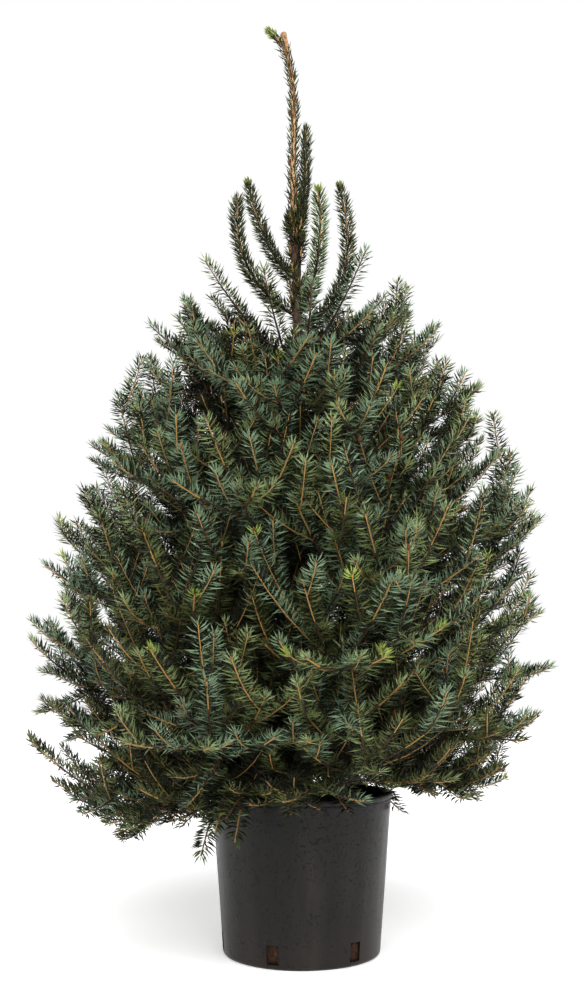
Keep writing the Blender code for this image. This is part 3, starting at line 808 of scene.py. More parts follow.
def moulded_polypropylene(colour):
    """Black recycled polypropylene, blow-moulded: satin, with fine pits, upright streaks and dried soil."""
    made, tree, shader = finish_of("moulded_black_polypropylene", colour, 0.42, Specular_IOR_Level=0.35)
    place = add_node(tree, "TexCoord")["Object"]
    stretched = add_node(tree, "Mapping", {"Scale": (1.0, 1.0, 0.06), "Vector": place})[0]
    # Upright streaks about 6 mm wide and 100 mm long, from how the wall was drawn in the mould.
    streaks = add_node(
        tree, "TexNoise", {"Scale": 75.0, "Detail": 5.0, "Roughness": 0.65, "Vector": stretched}
    )[0]
    drawn = add_node(tree, "MapRange", {"From Min": 0.25, "From Max": 0.70, "Value": streaks})[0]
    # Broad upright bands, 60 mm or so wide, a little greyer: a painted sheen, laid at random.
    broad = add_node(tree, "TexNoise", {"Scale": 16.0, "Detail": 2.0, "Vector": stretched})[0]
    painted_sheen_bands = add_node(tree, "MapRange", {"From Min": 0.42, "From Max": 0.60, "Value": broad})[0]
    grey = add_node(tree, "Mix", {"data_type": "RGBA", 0: painted_sheen_bands, 6: tuple(colour), 7: linear("#2F2B29")})[2]
    black = add_node(tree, "Mix", {"data_type": "RGBA", 0: drawn, 6: linear("#141211"), 7: grey})[2]
    # Ragged pits a few millimetres across, in patches.
    clouds = add_node(tree, "TexNoise", {"Scale": 14.0, "Detail": 4.0, "Vector": place})[0]
    pits = add_node(tree, "TexNoise", {"Scale": 190.0, "Detail": 3.0, "Roughness": 0.6, "Vector": place})[0]
    no_pit = add_node(tree, "MapRange", {"From Min": 0.64, "From Max": 0.57, "Value": pits})[0]
    no_patch = add_node(tree, "MapRange", {"From Min": 0.52, "From Max": 0.62, "Value": clouds})[0]
    smooth = add_node(tree, "Math", {"operation": "MAXIMUM", 0: no_pit, 1: no_patch})[0]
    pitted = add_node(tree, "Mix", {"data_type": "RGBA", 0: smooth, 6: linear("#030303"), 7: black})[2]
    # One near-black spot, 12 mm across, on the front left.
    from_dark_spot = add_node(tree, "VectorMath", {"operation": "DISTANCE", 0: place, 1: DARK_SPOT})["Value"]
    ragged = add_node(tree, "Math", {"operation": "MULTIPLY_ADD", 0: streaks, 1: 0.012, 2: from_dark_spot})[0]
    dark_spot = add_node(tree, "MapRange", {"From Min": 0.014, "From Max": 0.010, "Value": ragged})[0]
    spotted = add_node(tree, "Mix", {"data_type": "RGBA", 0: dark_spot, 6: pitted, 7: linear("#050505")})[2]
    # Dried soil gathers towards the foot of the wall.
    height = add_node(tree, "SeparateXYZ", {"Vector": place})["Z"]
    fading = {"From Min": 0.0, "From Max": 0.075, "To Min": 0.25, "To Max": 0.0}
    low = add_node(tree, "MapRange", fading | {"Value": height})[0]
    dust = add_node(tree, "Math", {"operation": "MULTIPLY", 0: low, 1: clouds})[0]
    dusty = add_node(tree, "Mix", {"data_type": "RGBA", 0: dust, 6: spotted, 7: linear("#4E4034")})[2]
    tree.links.new(dusty, shader.inputs["Base Color"])
    # The streaks vary the gloss too, and stand out a little, as the pits sink in.
    gloss = {"From Min": 0.3, "From Max": 0.7, "To Min": 0.28, "To Max": 0.42}
    sheen = add_node(tree, "MapRange", gloss | {"Value": streaks})[0]
    tree.links.new(sheen, shader.inputs["Roughness"])
    sunk = add_node(tree, "Bump", {"Strength": 0.6, "Distance": 0.0008, "Height": smooth})[0]
    raised = {"Strength": 0.25, "Distance": 0.0008, "Height": streaks, "Normal": sunk}
    tree.links.new(add_node(tree, "Bump", raised)[0], shader.inputs["Normal"])
    return made


def scaly_bark():
    """Spruce bark: thin grey-brown scales on the old wood, and smooth orange-tan bark on the leader."""
    made, tree, shader = finish_of("scaly_spruce_bark", linear("#5A473A"), 0.85)
    place = add_node(tree, "TexCoord")["Object"]
    taller = add_node(tree, "Mapping", {"Scale": (1.0, 1.0, 0.6), "Vector": place})[0]
    # Patches about 8 mm across.
    clouds = add_node(
        tree, "TexNoise", {"Scale": 130.0, "Detail": 6.0, "Roughness": 0.7, "Vector": taller}
    )[0]
    patches = add_node(tree, "MapRange", {"From Min": 0.36, "From Max": 0.64, "Value": clouds})[0]
    patched = {"data_type": "RGBA", 0: patches}
    old = add_node(tree, "Mix", patched | {6: linear("#2A1F18"), 7: linear("#6B5443")})[2]
    young = add_node(tree, "Mix", patched | {6: linear("#7A5030"), 7: linear("#D9B68A")})[2]
    # The young bark begins above the swollen node, at a ragged height.
    height = add_node(tree, "SeparateXYZ", {"Vector": place})["Z"]
    wander = add_node(tree, "TexNoise", {"Scale": 60.0, "Vector": place})[0]
    shifted = add_node(tree, "Math", {"operation": "MULTIPLY_ADD", 0: wander, 1: 0.06, 2: height})[0]
    above = add_node(tree, "MapRange", {"From Min": 1.25, "From Max": 1.285, "Value": shifted})[0]
    colour = add_node(tree, "Mix", {"data_type": "RGBA", 0: above, 6: old, 7: young})[2]
    tree.links.new(colour, shader.inputs["Base Color"])
    # Scales about 5 mm across, a little taller than wide, under a finer grain.
    scales = add_node(tree, "TexVoronoi", {"Scale": 200.0, "Vector": taller})[0]
    grain = add_node(tree, "TexNoise", {"Scale": 420.0, "Detail": 4.0, "Vector": taller})[0]
    scaly = add_node(tree, "Bump", {"Strength": 0.6, "Distance": 0.0008, "Height": scales})[0]
    fine = {"Strength": 0.4, "Distance": 0.0004, "Height": grain, "Normal": scaly}
    tree.links.new(add_node(tree, "Bump", fine)[0], shader.inputs["Normal"])
    return made


def peat_mix():
    """Moist peat and bark mix: almost black crumbs with brown fibres, fully matt."""
    made, tree, shader = finish_of("moist_peat_and_bark", linear("#2E2119"), 0.95)
    place = add_node(tree, "TexCoord")["Object"]
    # Crumbs about 4 mm across.
    crumbs = add_node(
        tree, "TexNoise", {"Scale": 260.0, "Detail": 6.0, "Roughness": 0.7, "Vector": place}
    )[0]
    dry = add_node(tree, "MapRange", {"From Min": 0.35, "From Max": 0.65, "Value": crumbs})[0]
    colours = {"data_type": "RGBA", 0: dry, 6: linear("#150F0B"), 7: linear("#5A3E2A")}
    tree.links.new(add_node(tree, "Mix", colours)[2], shader.inputs["Base Color"])
    bump = add_node(tree, "Bump", {"Strength": 0.8, "Distance": 0.0015, "Height": crumbs})[0]
    tree.links.new(bump, shader.inputs["Normal"])
    return made


# Pieces.


def pot_section():
    """The wall's section as (radius, height) points, with its mould ridges among them.

    Up the outside from the middle of the underside over a rounded foot, past two faint mould ridges and the
    rolled band, over the rim and down the inside to the floor.
    """
    foot = POT_FOOT_ROUND
    wall = POT_BASE_RADIUS - RIM_BAND_PROUD
    outer = [(r, 0.0) for r in (0.0, 0.03, 0.06, 0.09, 0.11)]
    centre = wall + WALL_SLOPE * foot - foot
    arc = np.radians(np.linspace(-90.0, 0.0, 9))
    outer += list(zip(centre + foot * np.cos(arc), foot + foot * np.sin(arc)))
    band = POT_HEIGHT - RIM_BAND_HEIGHT
    heights = np.linspace(foot + 0.004, band - 0.0004, 58)
    ridge = 0.0009 * np.exp(-(((heights - band + 0.0135) / 0.0014) ** 2))
    ridge += 0.0010 * np.exp(-(((heights - band + 0.0050) / 0.0016) ** 2))
    outer += list(zip(wall + WALL_SLOPE * heights + ridge, heights))
    rim = POT_RIM_RADIUS
    outer += [(rim - 0.0014, band), (rim - 0.0005, band + 0.0004), (rim - 0.0001, band + 0.0016)]
    outer += [(rim, band + 0.004), (rim, POT_HEIGHT - 0.0026), (rim - 0.0003, POT_HEIGHT - 0.0012)]
    outer += [(rim - 0.0010, POT_HEIGHT - 0.0003), (rim - 0.0020, POT_HEIGHT)]
    inner = wall + WALL_SLOPE * POT_HEIGHT - POT_WALL
    outer += [(inner + 0.0008, POT_HEIGHT), (inner + 0.0001, POT_HEIGHT - 0.0006)]
    down = np.linspace(POT_HEIGHT - 0.003, POT_FLOOR + 0.006, 24)
    outer += list(zip(wall + WALL_SLOPE * down - POT_WALL, down))
    outer += [(wall - POT_WALL - 0.0035, POT_FLOOR + 0.0012), (wall - POT_WALL - 0.008, POT_FLOOR)]
    outer += [(0.06, POT_FLOOR), (0.0, POT_FLOOR)]
    return np.array(outer)


def turned_shell(section, sides, wave):
    """A section turned round Z, its radius wandering by wave along slow noise. Its poles are points."""
    angle = 2.0 * np.pi * np.arange(sides) / sides
    ring = section[1:-1]
    wide = np.ones((1, sides))
    radius = ring[:, :1] * wide
    place = np.stack([radius * np.cos(angle), radius * np.sin(angle), ring[:, 1:] * wide * 0.5], axis=-1)
    radius = radius + wave * noise(place, 0.045, 5) * np.minimum(1.0, radius / 0.1)
    points = np.stack([radius * np.cos(angle), radius * np.sin(angle), ring[:, 1:] * wide], -1)
    ends = [[0.0, 0.0, section[0, 1]], [0.0, 0.0, section[-1, 1]]]
    return np.concatenate([points.reshape(-1, 3), ends]), tube_topology(len(ring), sides)[0]


def boxes(centres, turns, sizes):
    """Boxes as arrays: each has eight corners, at half its size from its centre, turned about Z."""
    corner = np.array(list(itertools.product((-0.5, 0.5), repeat=3)))
    local = corner[None] * np.asarray(sizes)[:, None, :]
    cos, sin = np.cos(turns)[:, None], np.sin(turns)[:, None]
    x = local[..., 0] * cos - local[..., 1] * sin
    y = local[..., 0] * sin + local[..., 1] * cos
    points = np.stack([x, y, local[..., 2]], -1) + np.asarray(centres)[:, None, :]
    quads = np.array([(0, 1, 3, 2), (4, 6, 7, 5), (0, 4, 5, 1), (2, 3, 7, 6), (0, 2, 6, 4), (1, 5, 7, 3)])
    faces = triangles(quads)[None] + (np.arange(len(points)) * 8)[:, None, None]
    return points.reshape(-1, 3), faces.reshape(-1, 3)


def slot_angles():
    """The bearings of the drain slots."""
    return np.radians(SLOT_FIRST_DEG + np.arange(SLOT_COUNT) * 360.0 / SLOT_COUNT)


def soil_height(radius):
    """The height of the soil, which falls evenly from its middle to the wall."""
    return SOIL_TOP + SOIL_DOME * (1.0 - radius / 0.14)


class SPRUCE_OT_pot(bpy.types.Operator):
    """Turn the pot's wall, wave it a little and cut its drain slots"""

    bl_idname = "spruce.pot"
    bl_label = "Pot"

    def execute(self, context):
        sizes = context.scene.spruce_pot
        finish = moulded_polypropylene(sizes.colour)
        points, faces = turned_shell(pot_section(), sizes.sides, sizes.wave)
        pot = piece("nursery_pot", points, faces, [finish])
        turns = slot_angles()
        centres = outward(turns) * POT_BASE_RADIUS + UP * (SLOT_BOTTOM + SLOT_HEIGHT / 2.0)
        punch = (PUNCH_DEPTH, SLOT_WIDTH, SLOT_HEIGHT)
        points, faces = boxes(centres, turns, np.tile(punch, (SLOT_COUNT, 1)))
        cutter = piece("slot_punch", points, faces, [finish])
        cut = pot.modifiers.new("Slots", "BOOLEAN")
        cut.operation = "DIFFERENCE"
        cut.solver = "EXACT"
        cut.object = cutter
        graph = context.evaluated_depsgraph_get()
        mesh = bpy.data.meshes.new_from_object(pot.evaluated_get(graph))
        pot.modifiers.clear()
        pot.data = mesh
        bpy.data.objects.remove(cutter)
        mesh.set_sharp_from_angle(angle=math.radians(40.0))
        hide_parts("pot")
        return {"FINISHED"}


class SPRUCE_OT_soil(bpy.types.Operator):
    """Fill the pot with crumbly potting soil and scatter bark chips on it"""

    bl_idname = "spruce.soil"
    bl_label = "Soil"

    def execute(self, context):
        inside = POT_INSIDE + WALL_SLOPE * SOIL_TOP
        heights = np.linspace(POT_FLOOR + 0.008, SOIL_TOP - 0.002, 70)
        section = [(0.0, POT_FLOOR + 0.0005), (0.06, POT_FLOOR + 0.0005)]
        section += [(POT_INSIDE - 0.008, POT_FLOOR + 0.001)]
        section += list(zip(POT_INSIDE + WALL_SLOPE * heights - 0.0022, heights))
        section += [(r, soil_height(r)) for r in np.linspace(inside - 0.002, 0.004, 64)]
        section += [(0.0, SOIL_TOP + SOIL_DOME)]
        points, faces = turned_shell(np.array(section), 220, 0.0)
        crumbs = rough(points, CRUMB, 3, 4)
        on_top = np.clip((points[:, 2] - SOIL_TOP + 0.004) / 0.004, 0.0, 1.0)
        near_wall = level_distance(points) / inside
        points[:, 2] += on_top * crumbs * CRUMBS_HIGH * (1.0 - near_wall**6)
        out = unit(points * (1.0, 1.0, 0.0))
        points -= out * ((1.0 - on_top) * np.abs(crumbs) * CRUMBS_DEEP)[:, None]
        soil = piece("potting_soil_fill", points, faces, [peat_mix()])
        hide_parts("potting_soil")

        # Chips of pine bark, matt, dark and brown, lie flat on the crumbs.
        rule = np.random.default_rng(11)
        radius = CHIPS_RADIUS * np.sqrt(rule.uniform(0.04, 1.0, CHIP_COUNT))
        centres = outward(rule.uniform(0.0, 2.0 * np.pi, CHIP_COUNT)) * radius[:, None]
        centres[:, 2] = soil_height(radius) + 0.0008
        centres[:, 2] += rough(centres, CRUMB, 3, 4) * 0.0025
        sizes = np.stack([rule.uniform(*span, CHIP_COUNT) for span in CHIP_SIZES], -1)
        points, faces = boxes(centres, rule.uniform(0.0, np.pi, CHIP_COUNT), sizes)
        points += 0.0009 * rule.uniform(-1.0, 1.0, points.shape)
        finishes = plain_set("pine_bark_chip_", {"dark": "#33241A", "brown": "#5B3F2B"}, 0.9)
        which = np.repeat(rule.integers(0, 2, CHIP_COUNT), len(faces) // CHIP_COUNT)
        litter = piece("bark_chips", points, faces, finishes, which, smooth=False)
        return {"FINISHED"}


class SPRUCE_OT_roots(bpy.types.Operator):
    """Weave fine roots over the root ball where the drain slots show it"""

    bl_idname = "spruce.roots"
    bl_label = "Roots at the slots"

    def execute(self, context):
        rule = np.random.default_rng(5)
        slot = np.repeat(slot_angles(), ROOTS_PER_SLOT)
        share = np.linspace(-1.0, 1.0, 10)
        lean = rule.uniform(-1.0, 1.0, (len(slot), 1))
        waves = share * rule.uniform(3.0, 9.0, lean.shape) + rule.uniform(0.0, 6.3, lean.shape)
        across = rule.uniform(-1.0, 1.0, lean.shape) * SLOT_WIDTH * 0.55
        across = across + share * lean * 0.008 + 0.0016 * np.sin(waves)
        height = SLOT_BOTTOM + SLOT_HEIGHT * (0.5 + 0.62 * share * (1.0 - np.abs(lean) * 0.5))
        height = np.clip(height + rule.uniform(-0.004, 0.004, lean.shape), POT_FLOOR + 0.0025, None)
        depth = POT_INSIDE + 0.08 * height - 0.0021 - rule.uniform(0.0, 0.0012, lean.shape)
        cos, sin = np.cos(slot)[:, None], np.sin(slot)[:, None]
        centres = np.stack([depth * cos - across * sin, depth * sin + across * cos, height], -1)
        radii = rule.uniform(*ROOT_RADII, lean.shape) * np.ones_like(share)
        points, faces, _ = tubes(centres, radii, 5)
        # Woody roots, matt, some darker than others.
        finishes = plain_set("woody_root_", {"dark": "#2A1A13", "light": "#5C3D2A"}, 0.8)
        which = np.repeat(rule.integers(0, 2, len(slot)), len(faces) // len(slot))
        roots = piece("fine_roots", points, faces, finishes, which)
        return {"FINISHED"}


def trunk_relief(points, out):
    """Scales on the old wood, lobes at the flare, and pegs in a spiral on the leader."""
    z = points[..., 2]
    angle = np.arctan2(out[..., 1], out[..., 0])
    near = np.clip(1.0 - (z - TRUNK_FOOT) / 0.03, 0.0, 1.0)
    lobes = FLARE_SWELL * 0.022 * near * np.cos(FLARE_LOBES * angle)
    plates = rough(points * (1.0, 1.0, 0.55), 0.006, 21)
    old = np.clip((1.26 - z) / 0.03, 0.0, 1.0)
    knots = np.exp(-(((z - 1.20) / 0.03) ** 2)) * noise(points, 0.009, 8) * 0.0016
    pegs = np.cos(8.0 * angle + z * 1900.0) * np.cos(z * 2300.0)
    return lobes + old * plates * 0.0007 + knots + (1.0 - old) * (pegs * 0.00035 + plates * 0.0002)


class SPRUCE_OT_trunk(bpy.types.Operator):
    """Grow the trunk with its root flare, scaly bark and the pegs of the leader's bark"""

    bl_idname = "spruce.trunk"
    bl_label = "Trunk"

    def execute(self, context):
        low, high = TRUNK_STATIONS[0][0] + 0.0001, TRUNK_STATIONS[-1][0]
        height = np.concatenate([np.linspace(low, 0.35, 60)[:-1], np.linspace(0.35, high, 520)])
        centres, radius = trunk_at(height)
        # Above the flare the radius is the mean of nine neighbours, so that no station shows.
        ease = np.convolve(np.pad(radius, 4, mode="edge"), np.ones(9) / 9.0, mode="valid")
        radius = np.where(height > 0.30, ease, radius)
        points, faces, _ = tubes(centres[None], radius[None], 40, trunk_relief)
        points[:, 2] = np.maximum(points[:, 2], TRUNK_FOOT)
        share, wide = np.array([STUB_RINGS, STUB_WIDTHS])
        foot, top = (np.array([lean, 0.0, z]) for z, lean in STUB)
        path = (foot + (top - foot) * share[:, None])[None]
        stub, stub_faces, _ = tubes(path, STUB_RADIUS * wide[None], 18, trunk_relief)
        faces = np.concatenate([faces, stub_faces + len(points)])
        trunk = piece("trunk_bark", np.concatenate([points, stub]), faces, [scaly_bark()])
        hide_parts("trunk")
        return {"FINISHED"}


def tier_nodes(tier, kind):
    """The names of the solids of a tier's boughs or foliage."""
    names = [f"{kind}_{tier + 1}_{k + 1}" for k in range(TIER_LIMBS)]
    return names + [kind + "_drooping"] if tier == 0 else names


def bough_relief(points, out):
    """Small scales all over."""
    return rough(points, 0.005, 31) * 0.0004


class SPRUCE_OT_boughs(bpy.types.Operator):
    """Grow the bark of every bough from the trunk out to its tip"""

    bl_idname = "spruce.boughs"
    bl_label = "Boughs"

    def execute(self, context):
        table = axes()
        rings = 48
        centres, share, _ = paths(table, rings)
        radii = table["foot_radius"][:, None] * (1.0 - share) ** 1.7 + table["tip_radius"][:, None]
        points, faces, ring = tubes(centres, np.minimum(radii, BOUGH_RADIUS), 10, bough_relief)
        # Old bark is grey and matt, and the outer fifth of a bough is young: tan and smoother.
        old = plain("grey_brown_bough_bark", "#4C3A2E", 0.85)
        young = plain("tan_shoot_bark", "#745435", 0.65)
        boughs = piece("bough_bark", points, faces, [old, young], ring > rings * 0.80)
        names = [name for tier in range(BOUGH_TIERS) for name in tier_nodes(tier, "bough")]
        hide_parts(*names)
        return {"FINISHED"}


class SPRUCE_OT_twigs(bpy.types.Operator):
    """Grow the side twigs and their shoots"""

    bl_idname = "spruce.twigs"
    bl_label = "Twigs"

    def execute(self, context):
        table = skeleton()
        points_all, faces_all, which_all = [], [], []
        offset = 0
        for level, rings, sides in ((1, 9, 5), (2, 5, 4)):
            some = chosen(table, table["level"] == level)
            centres, share, count = paths(some, rings)
            radii = some["foot_radius"][:, None] * (1.0 - share) + some["tip_radius"][:, None] * share
            points, faces, ring = tubes(centres, radii, sides)
            # The outer part of every twig is golden, and three shoots of five wholly.
            golden = np.repeat(np.arange(count) % 5 < 3, len(ring) // count)
            points_all.append(points)
            faces_all.append(faces + offset)
            which_all.append((ring >= rings * 0.55) | (golden & (level == 2)))
            offset += len(points)
        # Brown bark is matt, and the golden bark of this year's shoots shines a little.
        finishes = [plain("brown_twig_bark", "#4F3828", 0.8), plain("golden_tan_shoot_bark", "#B08A50", 0.5)]
        points, faces, which = (np.concatenate(parts) for parts in (points_all, faces_all, which_all))
        twigs = piece("twigs", points, faces, finishes, which)
        return {"FINISHED"}


def bud_places(table, rule):
    """Where buds sit, which way they point and their radii: at most shoots' tips and on the leader."""
    outer = (table["level"] == 1) | (table["level"] == 2)
    row = np.flatnonzero(outer & (rule.uniform(0.0, 1.0, len(outer)) < BUD_SHARE))
    tips = curve(table, row, np.ones(len(row)))
    ways = heading(table, row, np.ones(len(row)))
    upright = (table["tier"][row] == len(TIERS)) & (table["length"][row] > 0.1)
    large = upright | (rule.uniform(0.0, 1.0, len(row)) < LARGE_BUD_SHARE)
    sizes = rule.uniform(*BUD_RADII, len(row)) + LARGE_BUD_MORE * large
    height, bearing = np.array(LEADER_BUDS).T
    out = outward(np.radians(bearing))
    middle, radius = trunk_at(height)
    tips = np.concatenate([tips, middle + out * radius[:, None]])
    ways = np.concatenate([ways, unit(out * 0.6 + UP)])
    return tips, ways, np.concatenate([sizes, np.full(len(height), LEADER_BUD)])


class SPRUCE_OT_buds(bpy.types.Operator):
    """Set scaly buds at the tips of the shoots and on the leader"""

    bl_idname = "spruce.buds"
    bl_label = "Buds"

    def execute(self, context):
        rule = np.random.default_rng(SEED + 3)
        tips, ways, sizes = bud_places(skeleton(), rule)
        share, wide = np.array(BUD_SECTION).T
        centres = tips[:, None, :] + ways[:, None, :] * (share[None, :] * sizes[:, None])[..., None]
        points, faces, _ = tubes(centres, sizes[:, None] * wide, 6)
        # Dry, papery bud scales with a dull gloss.
        finishes = plain_set("bud_scales_", {"red_brown": "#6E3D24", "tan": "#8E6238"}, 0.55)
        which = np.repeat(rule.integers(0, 2, len(sizes)), len(faces) // len(sizes))
        buds = piece("buds", points, faces, finishes, which)
        return {"FINISHED"}


def needle_roots(table, spacing, rule):
    """Where needles stand, evenly with a little scatter: their shoots' rows, their order and the shares."""
    bare = table["bare"]
    number = np.maximum(6, table["length"] * (1.0 - bare) * table["dense"] / spacing).astype(int)
    row, order = counted(number)
    share = bare[row] + (1.0 - bare[row]) * (order + rule.uniform(-0.4, 0.4, len(row))) / (number[row] - 0.5)
    return row, order, np.clip(share, 0.0, 1.0)


def needle_mesh(table, row, order, share, sizes, rule):
    """Needles as closed slivers of four corners: the root, two shoulders at the widest place and the tip.

    Round the shoot the needles follow the golden angle, pressed away from below, so that they part to both
    sides like a comb, and an upright shoot keeps them all round. A needle's angle to its shoot is less on top
    and closes towards the shoot's tip. The upper two faces are green and the lower two blue-grey.
    """
    point = curve(table, row, share)
    ahead = heading(table, row, share)
    side = unit(np.cross(ahead, UP - 0.35 * unit(point * (1.0, 1.0, 0.0))))
    over = np.cross(side, ahead)
    turn = np.mod(order * GOLDEN_TURN + rule.uniform(-0.3, 0.3, len(row)), 2.0 * np.pi) - np.pi
    around = np.maximum(table["around"][row], np.clip((ahead[:, 2] - 0.8) / 0.15, 0.0, 1.0))
    widest = np.radians(COMB_WIDEST_DEG) * (1.0 - around) + np.pi * around
    power = COMB_POWER * (1.0 - around) + around
    turn = np.sign(turn) * widest * (np.abs(turn) / np.pi) ** power
    left = (1.0 - share) * table["length"][row]
    closing = TIP_CLOSES_DEG * np.exp(-left / TIP_CLOSES_OVER)
    angle = np.radians(NEEDLE_ANGLE_DEG - closing - TOP_CLOSES_DEG * np.cos(turn) * (1.0 - around))
    angle *= 1.0 - 0.72 * table["closed"][row]
    scatter = np.where(rule.uniform(0.0, 1.0, len(row)) < STRAY_SHARE, STRAY_DEG, SCATTER_DEG)
    angle += np.radians(rule.normal(0.0, 1.0, len(row)) * scatter)
    out = np.cos(turn)[:, None] * over + np.sin(turn)[:, None] * side
    way = np.cos(angle)[:, None] * ahead + np.sin(angle)[:, None] * out
    face = over * (1.0 - around)[:, None] + out * around[:, None]
    face = unit(face + 0.4 * rule.normal(0.0, 1.0, way.shape))
    face = unit(face - (face * way).sum(axis=-1, keepdims=True) * way)
    edge = np.cross(way, face)
    radius = table["foot_radius"][row] * (1.0 - share) + table["tip_radius"][row] * share
    length = sizes.length * table["size"][row] * rule.uniform(0.76, 1.08, len(row))
    length *= 0.72 + 0.28 * np.clip(left / 0.02, 0.0, 1.0)
    root = point + out * (0.6 * radius)[:, None]
    forward = unit(ahead - (ahead * way).sum(axis=-1, keepdims=True) * way)
    middle = root + way * (0.45 * length)[:, None] - forward * (0.035 * length)[:, None]
    middle += face * sizes.thickness
    tip = root + way * length[:, None] + forward * (0.03 * length)[:, None]
    half = edge * (sizes.width / 2.0 * np.interp(table["dense"][row], *INNER_WIDTH))[:, None]
    points = np.stack([root, middle + half, middle - half, tip], axis=1)
    corners = np.array([(0, 1, 2), (1, 3, 2), (0, 3, 1), (0, 2, 3)])
    faces = corners[None] + (np.arange(len(row)) * 4)[:, None, None]
    return points.reshape(-1, 3), faces.reshape(-1, 3)


def tints_of(table, rule):
    """The tint of each shoot and of its tip.

    Where it isn't given it is dealt by how far out the shoot ends: dark inside, as painted shade with older
    needles, and outside blue-green, mid green or, low down, olive. The tips of mid green shoots are fresh,
    and a few outer ones bear a lime tuft.
    """
    reach = level_distance(table["end"]) / reach_at(table["end"])
    chance = rule.uniform(0.0, 1.0, len(reach))
    tint = np.where(chance < np.interp(table["tier"], *BLUE_SHARE), BLUE, MID)
    tint = np.where(chance > np.interp(table["tier"], *OLIVE_ABOVE), OLIVE, tint)
    tint = np.where(chance > FRESH_ABOVE, FRESH, tint)
    # Shoots that end deep inside take the dark tint: painted shade, with older needles.
    tint = np.where((reach < SHADED_INSIDE_WITHIN) | ((reach < HALF_SHADED_INSIDE_WITHIN) & (chance < 0.5)), INNER, tint)
    tint = np.where(table["tint"] == DEALT, tint, table["tint"])
    tip = np.where(tint == MID, FRESH, tint)
    lime_share = np.where(table["tier"] == len(TIERS), CROWN_LIME_SHARE, LIME_SHARE)
    tufted = rule.uniform(0.0, 1.0, len(reach)) < lime_share
    return tint, np.where(tufted & (reach > 0.5) & (table["level"] < 3), LIME, tip)


class SPRUCE_OT_needles(bpy.types.Operator):
    """Cover the shoots with needles, one piece for each tier"""

    bl_idname = "spruce.needles"
    bl_label = "Needles"

    def execute(self, context):
        sizes = context.scene.spruce_needles
        rule = np.random.default_rng(SEED)
        table = skeleton()
        table["tint"], table["tip_tint"] = tints_of(table, rule)
        spacing = (table["length"] * (1.0 - table["bare"]) * table["dense"]).sum() / sizes.number
        # Waxy needles: a satin green above, and paler and duller below.
        finishes = []
        for name, upper, under in TINTS:
            finishes.append(plain("needle_upper_" + name, upper, 0.40, Specular_IOR_Level=0.4))
            finishes.append(plain("needle_under_" + name, under, 0.50, Specular_IOR_Level=0.35))
        for tier in range(len(TIERS) + 1):
            name, old = "needles_crown", CROWN_OLD_SHARE
            if tier < len(TIERS):
                name, old = f"needles_tier_{tier + 1}", OLD_SHARE
            some = chosen(table, table["tier"] == tier)
            row, order, share = needle_roots(some, spacing, rule)
            points, faces = needle_mesh(some, row, order, share, sizes, rule)
            left = (1.0 - share) * some["length"][row]
            tint = np.where(rule.uniform(0.0, 1.0, len(row)) < old, INNER, some["tint"][row])
            tint = np.where(left < TIP_LENGTH, some["tip_tint"][row], tint)
            which = tint[:, None] * 2 + np.array([0, 0, 1, 1])
            needles = piece(name, points, faces, finishes, which.ravel(), smooth=False)
            if tier < len(TIERS):
                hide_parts(*tier_nodes(tier, "foliage"))
            else:
                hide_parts(*["foliage_" + s["name"] for s in CROWN_SHOOTS], "foliage_leader_tip")
        return {"FINISHED"}


def lamp(scene, name, kind, turn_deg, place=(0.0, 0.0, 0.0), **settings):
    """A lamp turned by degrees about X, Y and Z."""
    light = bpy.data.lights.new(name, kind)
    for key, value in settings.items():
        setattr(light, key, value)
    made = bpy.data.objects.new(name, light)
    made.location = place
    made.rotation_euler = [math.radians(degrees) for degrees in turn_deg]
    scene.collection.objects.link(made)


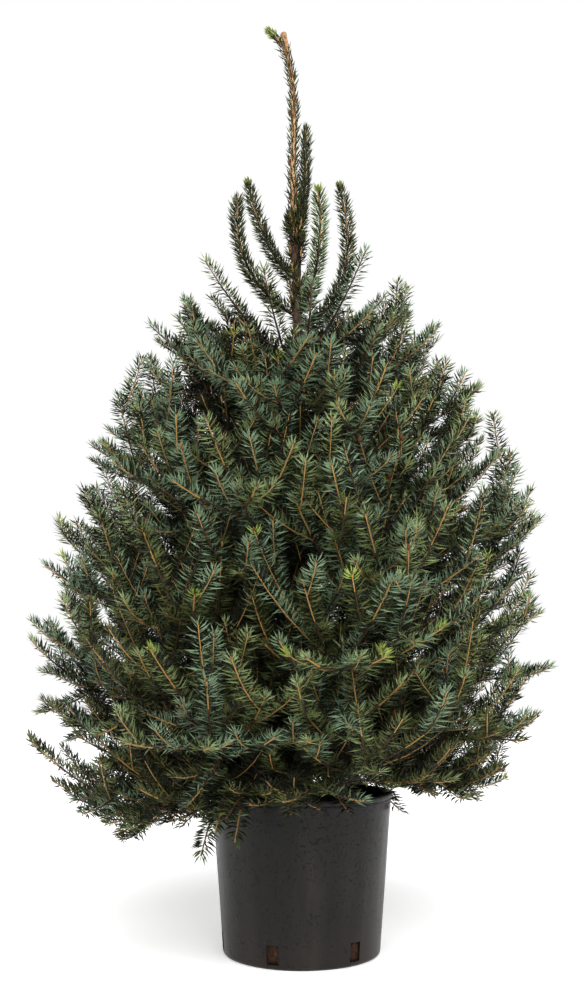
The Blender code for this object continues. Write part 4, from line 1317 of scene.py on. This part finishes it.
class SPRUCE_OT_stage(bpy.types.Operator):
    """Set up the pale floor, the soft light and the camera"""

    bl_idname = "spruce.stage"
    bl_label = "Stage"

    def execute(self, context):
        scene = context.scene
        sizes = scene.spruce_stage
        half = sizes.floor
        floor = bpy.data.meshes.new("floor")
        corners = [(-half, -half, 0), (half, -half, 0), (half, half, 0), (-half, half, 0)]
        floor.from_pydata(corners, [], [(0, 1, 2, 3)])
        # A white table top that glows a little, more so far from the pot.
        table, tree, shader = finish_of("lit_white_table", linear("#F4F4F4"), 0.9, Emission_Color=WHITE)
        place = add_node(tree, "TexCoord")["Object"]
        far = add_node(tree, "VectorMath", {"operation": "LENGTH", 0: place})["Value"]
        span = {"From Min": GLOW_FROM, "From Max": GLOW_TO, "Value": far}
        glow = add_node(tree, "MapRange", span | {"To Min": sizes.near_glow, "To Max": sizes.far_glow})[0]
        tree.links.new(glow, shader.inputs["Emission Strength"])
        floor.materials.append(table)
        ground = bpy.data.objects.new("floor", floor)
        scene.collection.objects.link(ground)

        # The room is white to the camera and gives the plant a weak fill.
        world = bpy.data.worlds.new("white_studio")
        scene.world = world
        world.use_nodes = True
        tree = world.node_tree
        white = tree.nodes["Background"]
        white.inputs["Color"].default_value = WHITE
        fill = add_node(tree, "Background", {"Color": WHITE, "Strength": sizes.fill})[0]
        seen = add_node(tree, "LightPath")["Is Camera Ray"]
        both = add_node(tree, "MixShader", {0: seen, 1: fill, 2: white.outputs[0]})[0]
        tree.links.new(both, tree.nodes["World Output"].inputs["Surface"])

        for name, place, turn_deg, size, share in SOFTBOXES:
            lamp(scene, name, "AREA", turn_deg, place, energy=sizes.softbox_watts * share, size=size)
        for name, turn_deg, share in SUNS:
            lamp(scene, name, "SUN", turn_deg, energy=sizes.key * share, angle=math.radians(SUN_SPREAD_DEG))

        lens = bpy.data.cameras.new("photo_camera")
        lens.sensor_fit = "VERTICAL"
        lens.sensor_height = CAMERA_SENSOR
        lens.lens = CAMERA_LENS
        camera = bpy.data.objects.new("photo_camera", lens)
        camera.location = CAMERA_PLACE
        camera.rotation_euler = (math.radians(CAMERA_TILT_DEG), 0.0, 0.0)
        scene.collection.objects.link(camera)
        scene.camera = camera
        scene.view_settings.view_transform = "Standard"
        scene.view_settings.gamma = VIEW_GAMMA
        return {"FINISHED"}


class SPRUCE_PT_panel(bpy.types.Panel):
    """The spruce's settings and its pieces."""

    bl_idname = "SPRUCE_PT_panel"
    bl_label = "Potted spruce"
    bl_space_type = "VIEW_3D"
    bl_region_type = "UI"
    bl_category = "Spruce"

    def draw(self, context):
        for group in (context.scene.spruce_pot, context.scene.spruce_needles, context.scene.spruce_stage):
            box = self.layout.box()
            for name in group.__annotations__:
                box.prop(group, name)
        for operator in STEPS:
            self.layout.operator(operator.bl_idname)


STEPS = (
    SPRUCE_OT_pot,
    SPRUCE_OT_soil,
    SPRUCE_OT_roots,
    SPRUCE_OT_trunk,
    SPRUCE_OT_boughs,
    SPRUCE_OT_twigs,
    SPRUCE_OT_buds,
    SPRUCE_OT_needles,
    SPRUCE_OT_stage,
)
GROUPS = (SprucePot, SpruceNeedles, SpruceStage)


def register():
    for kind in GROUPS + STEPS + (SPRUCE_PT_panel,):
        bpy.utils.register_class(kind)
    bpy.types.Scene.spruce_pot = PointerProperty(type=SprucePot)
    bpy.types.Scene.spruce_needles = PointerProperty(type=SpruceNeedles)
    bpy.types.Scene.spruce_stage = PointerProperty(type=SpruceStage)


def unregister():
    del bpy.types.Scene.spruce_stage
    del bpy.types.Scene.spruce_needles
    del bpy.types.Scene.spruce_pot
    for kind in reversed(GROUPS + STEPS + (SPRUCE_PT_panel,)):
        bpy.utils.unregister_class(kind)


def main():
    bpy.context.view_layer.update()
    register()
    for operator in STEPS:
        group, name = operator.bl_idname.split(".")
        getattr(getattr(bpy.ops, group), name)()


if __name__ == "__main__":
    main()
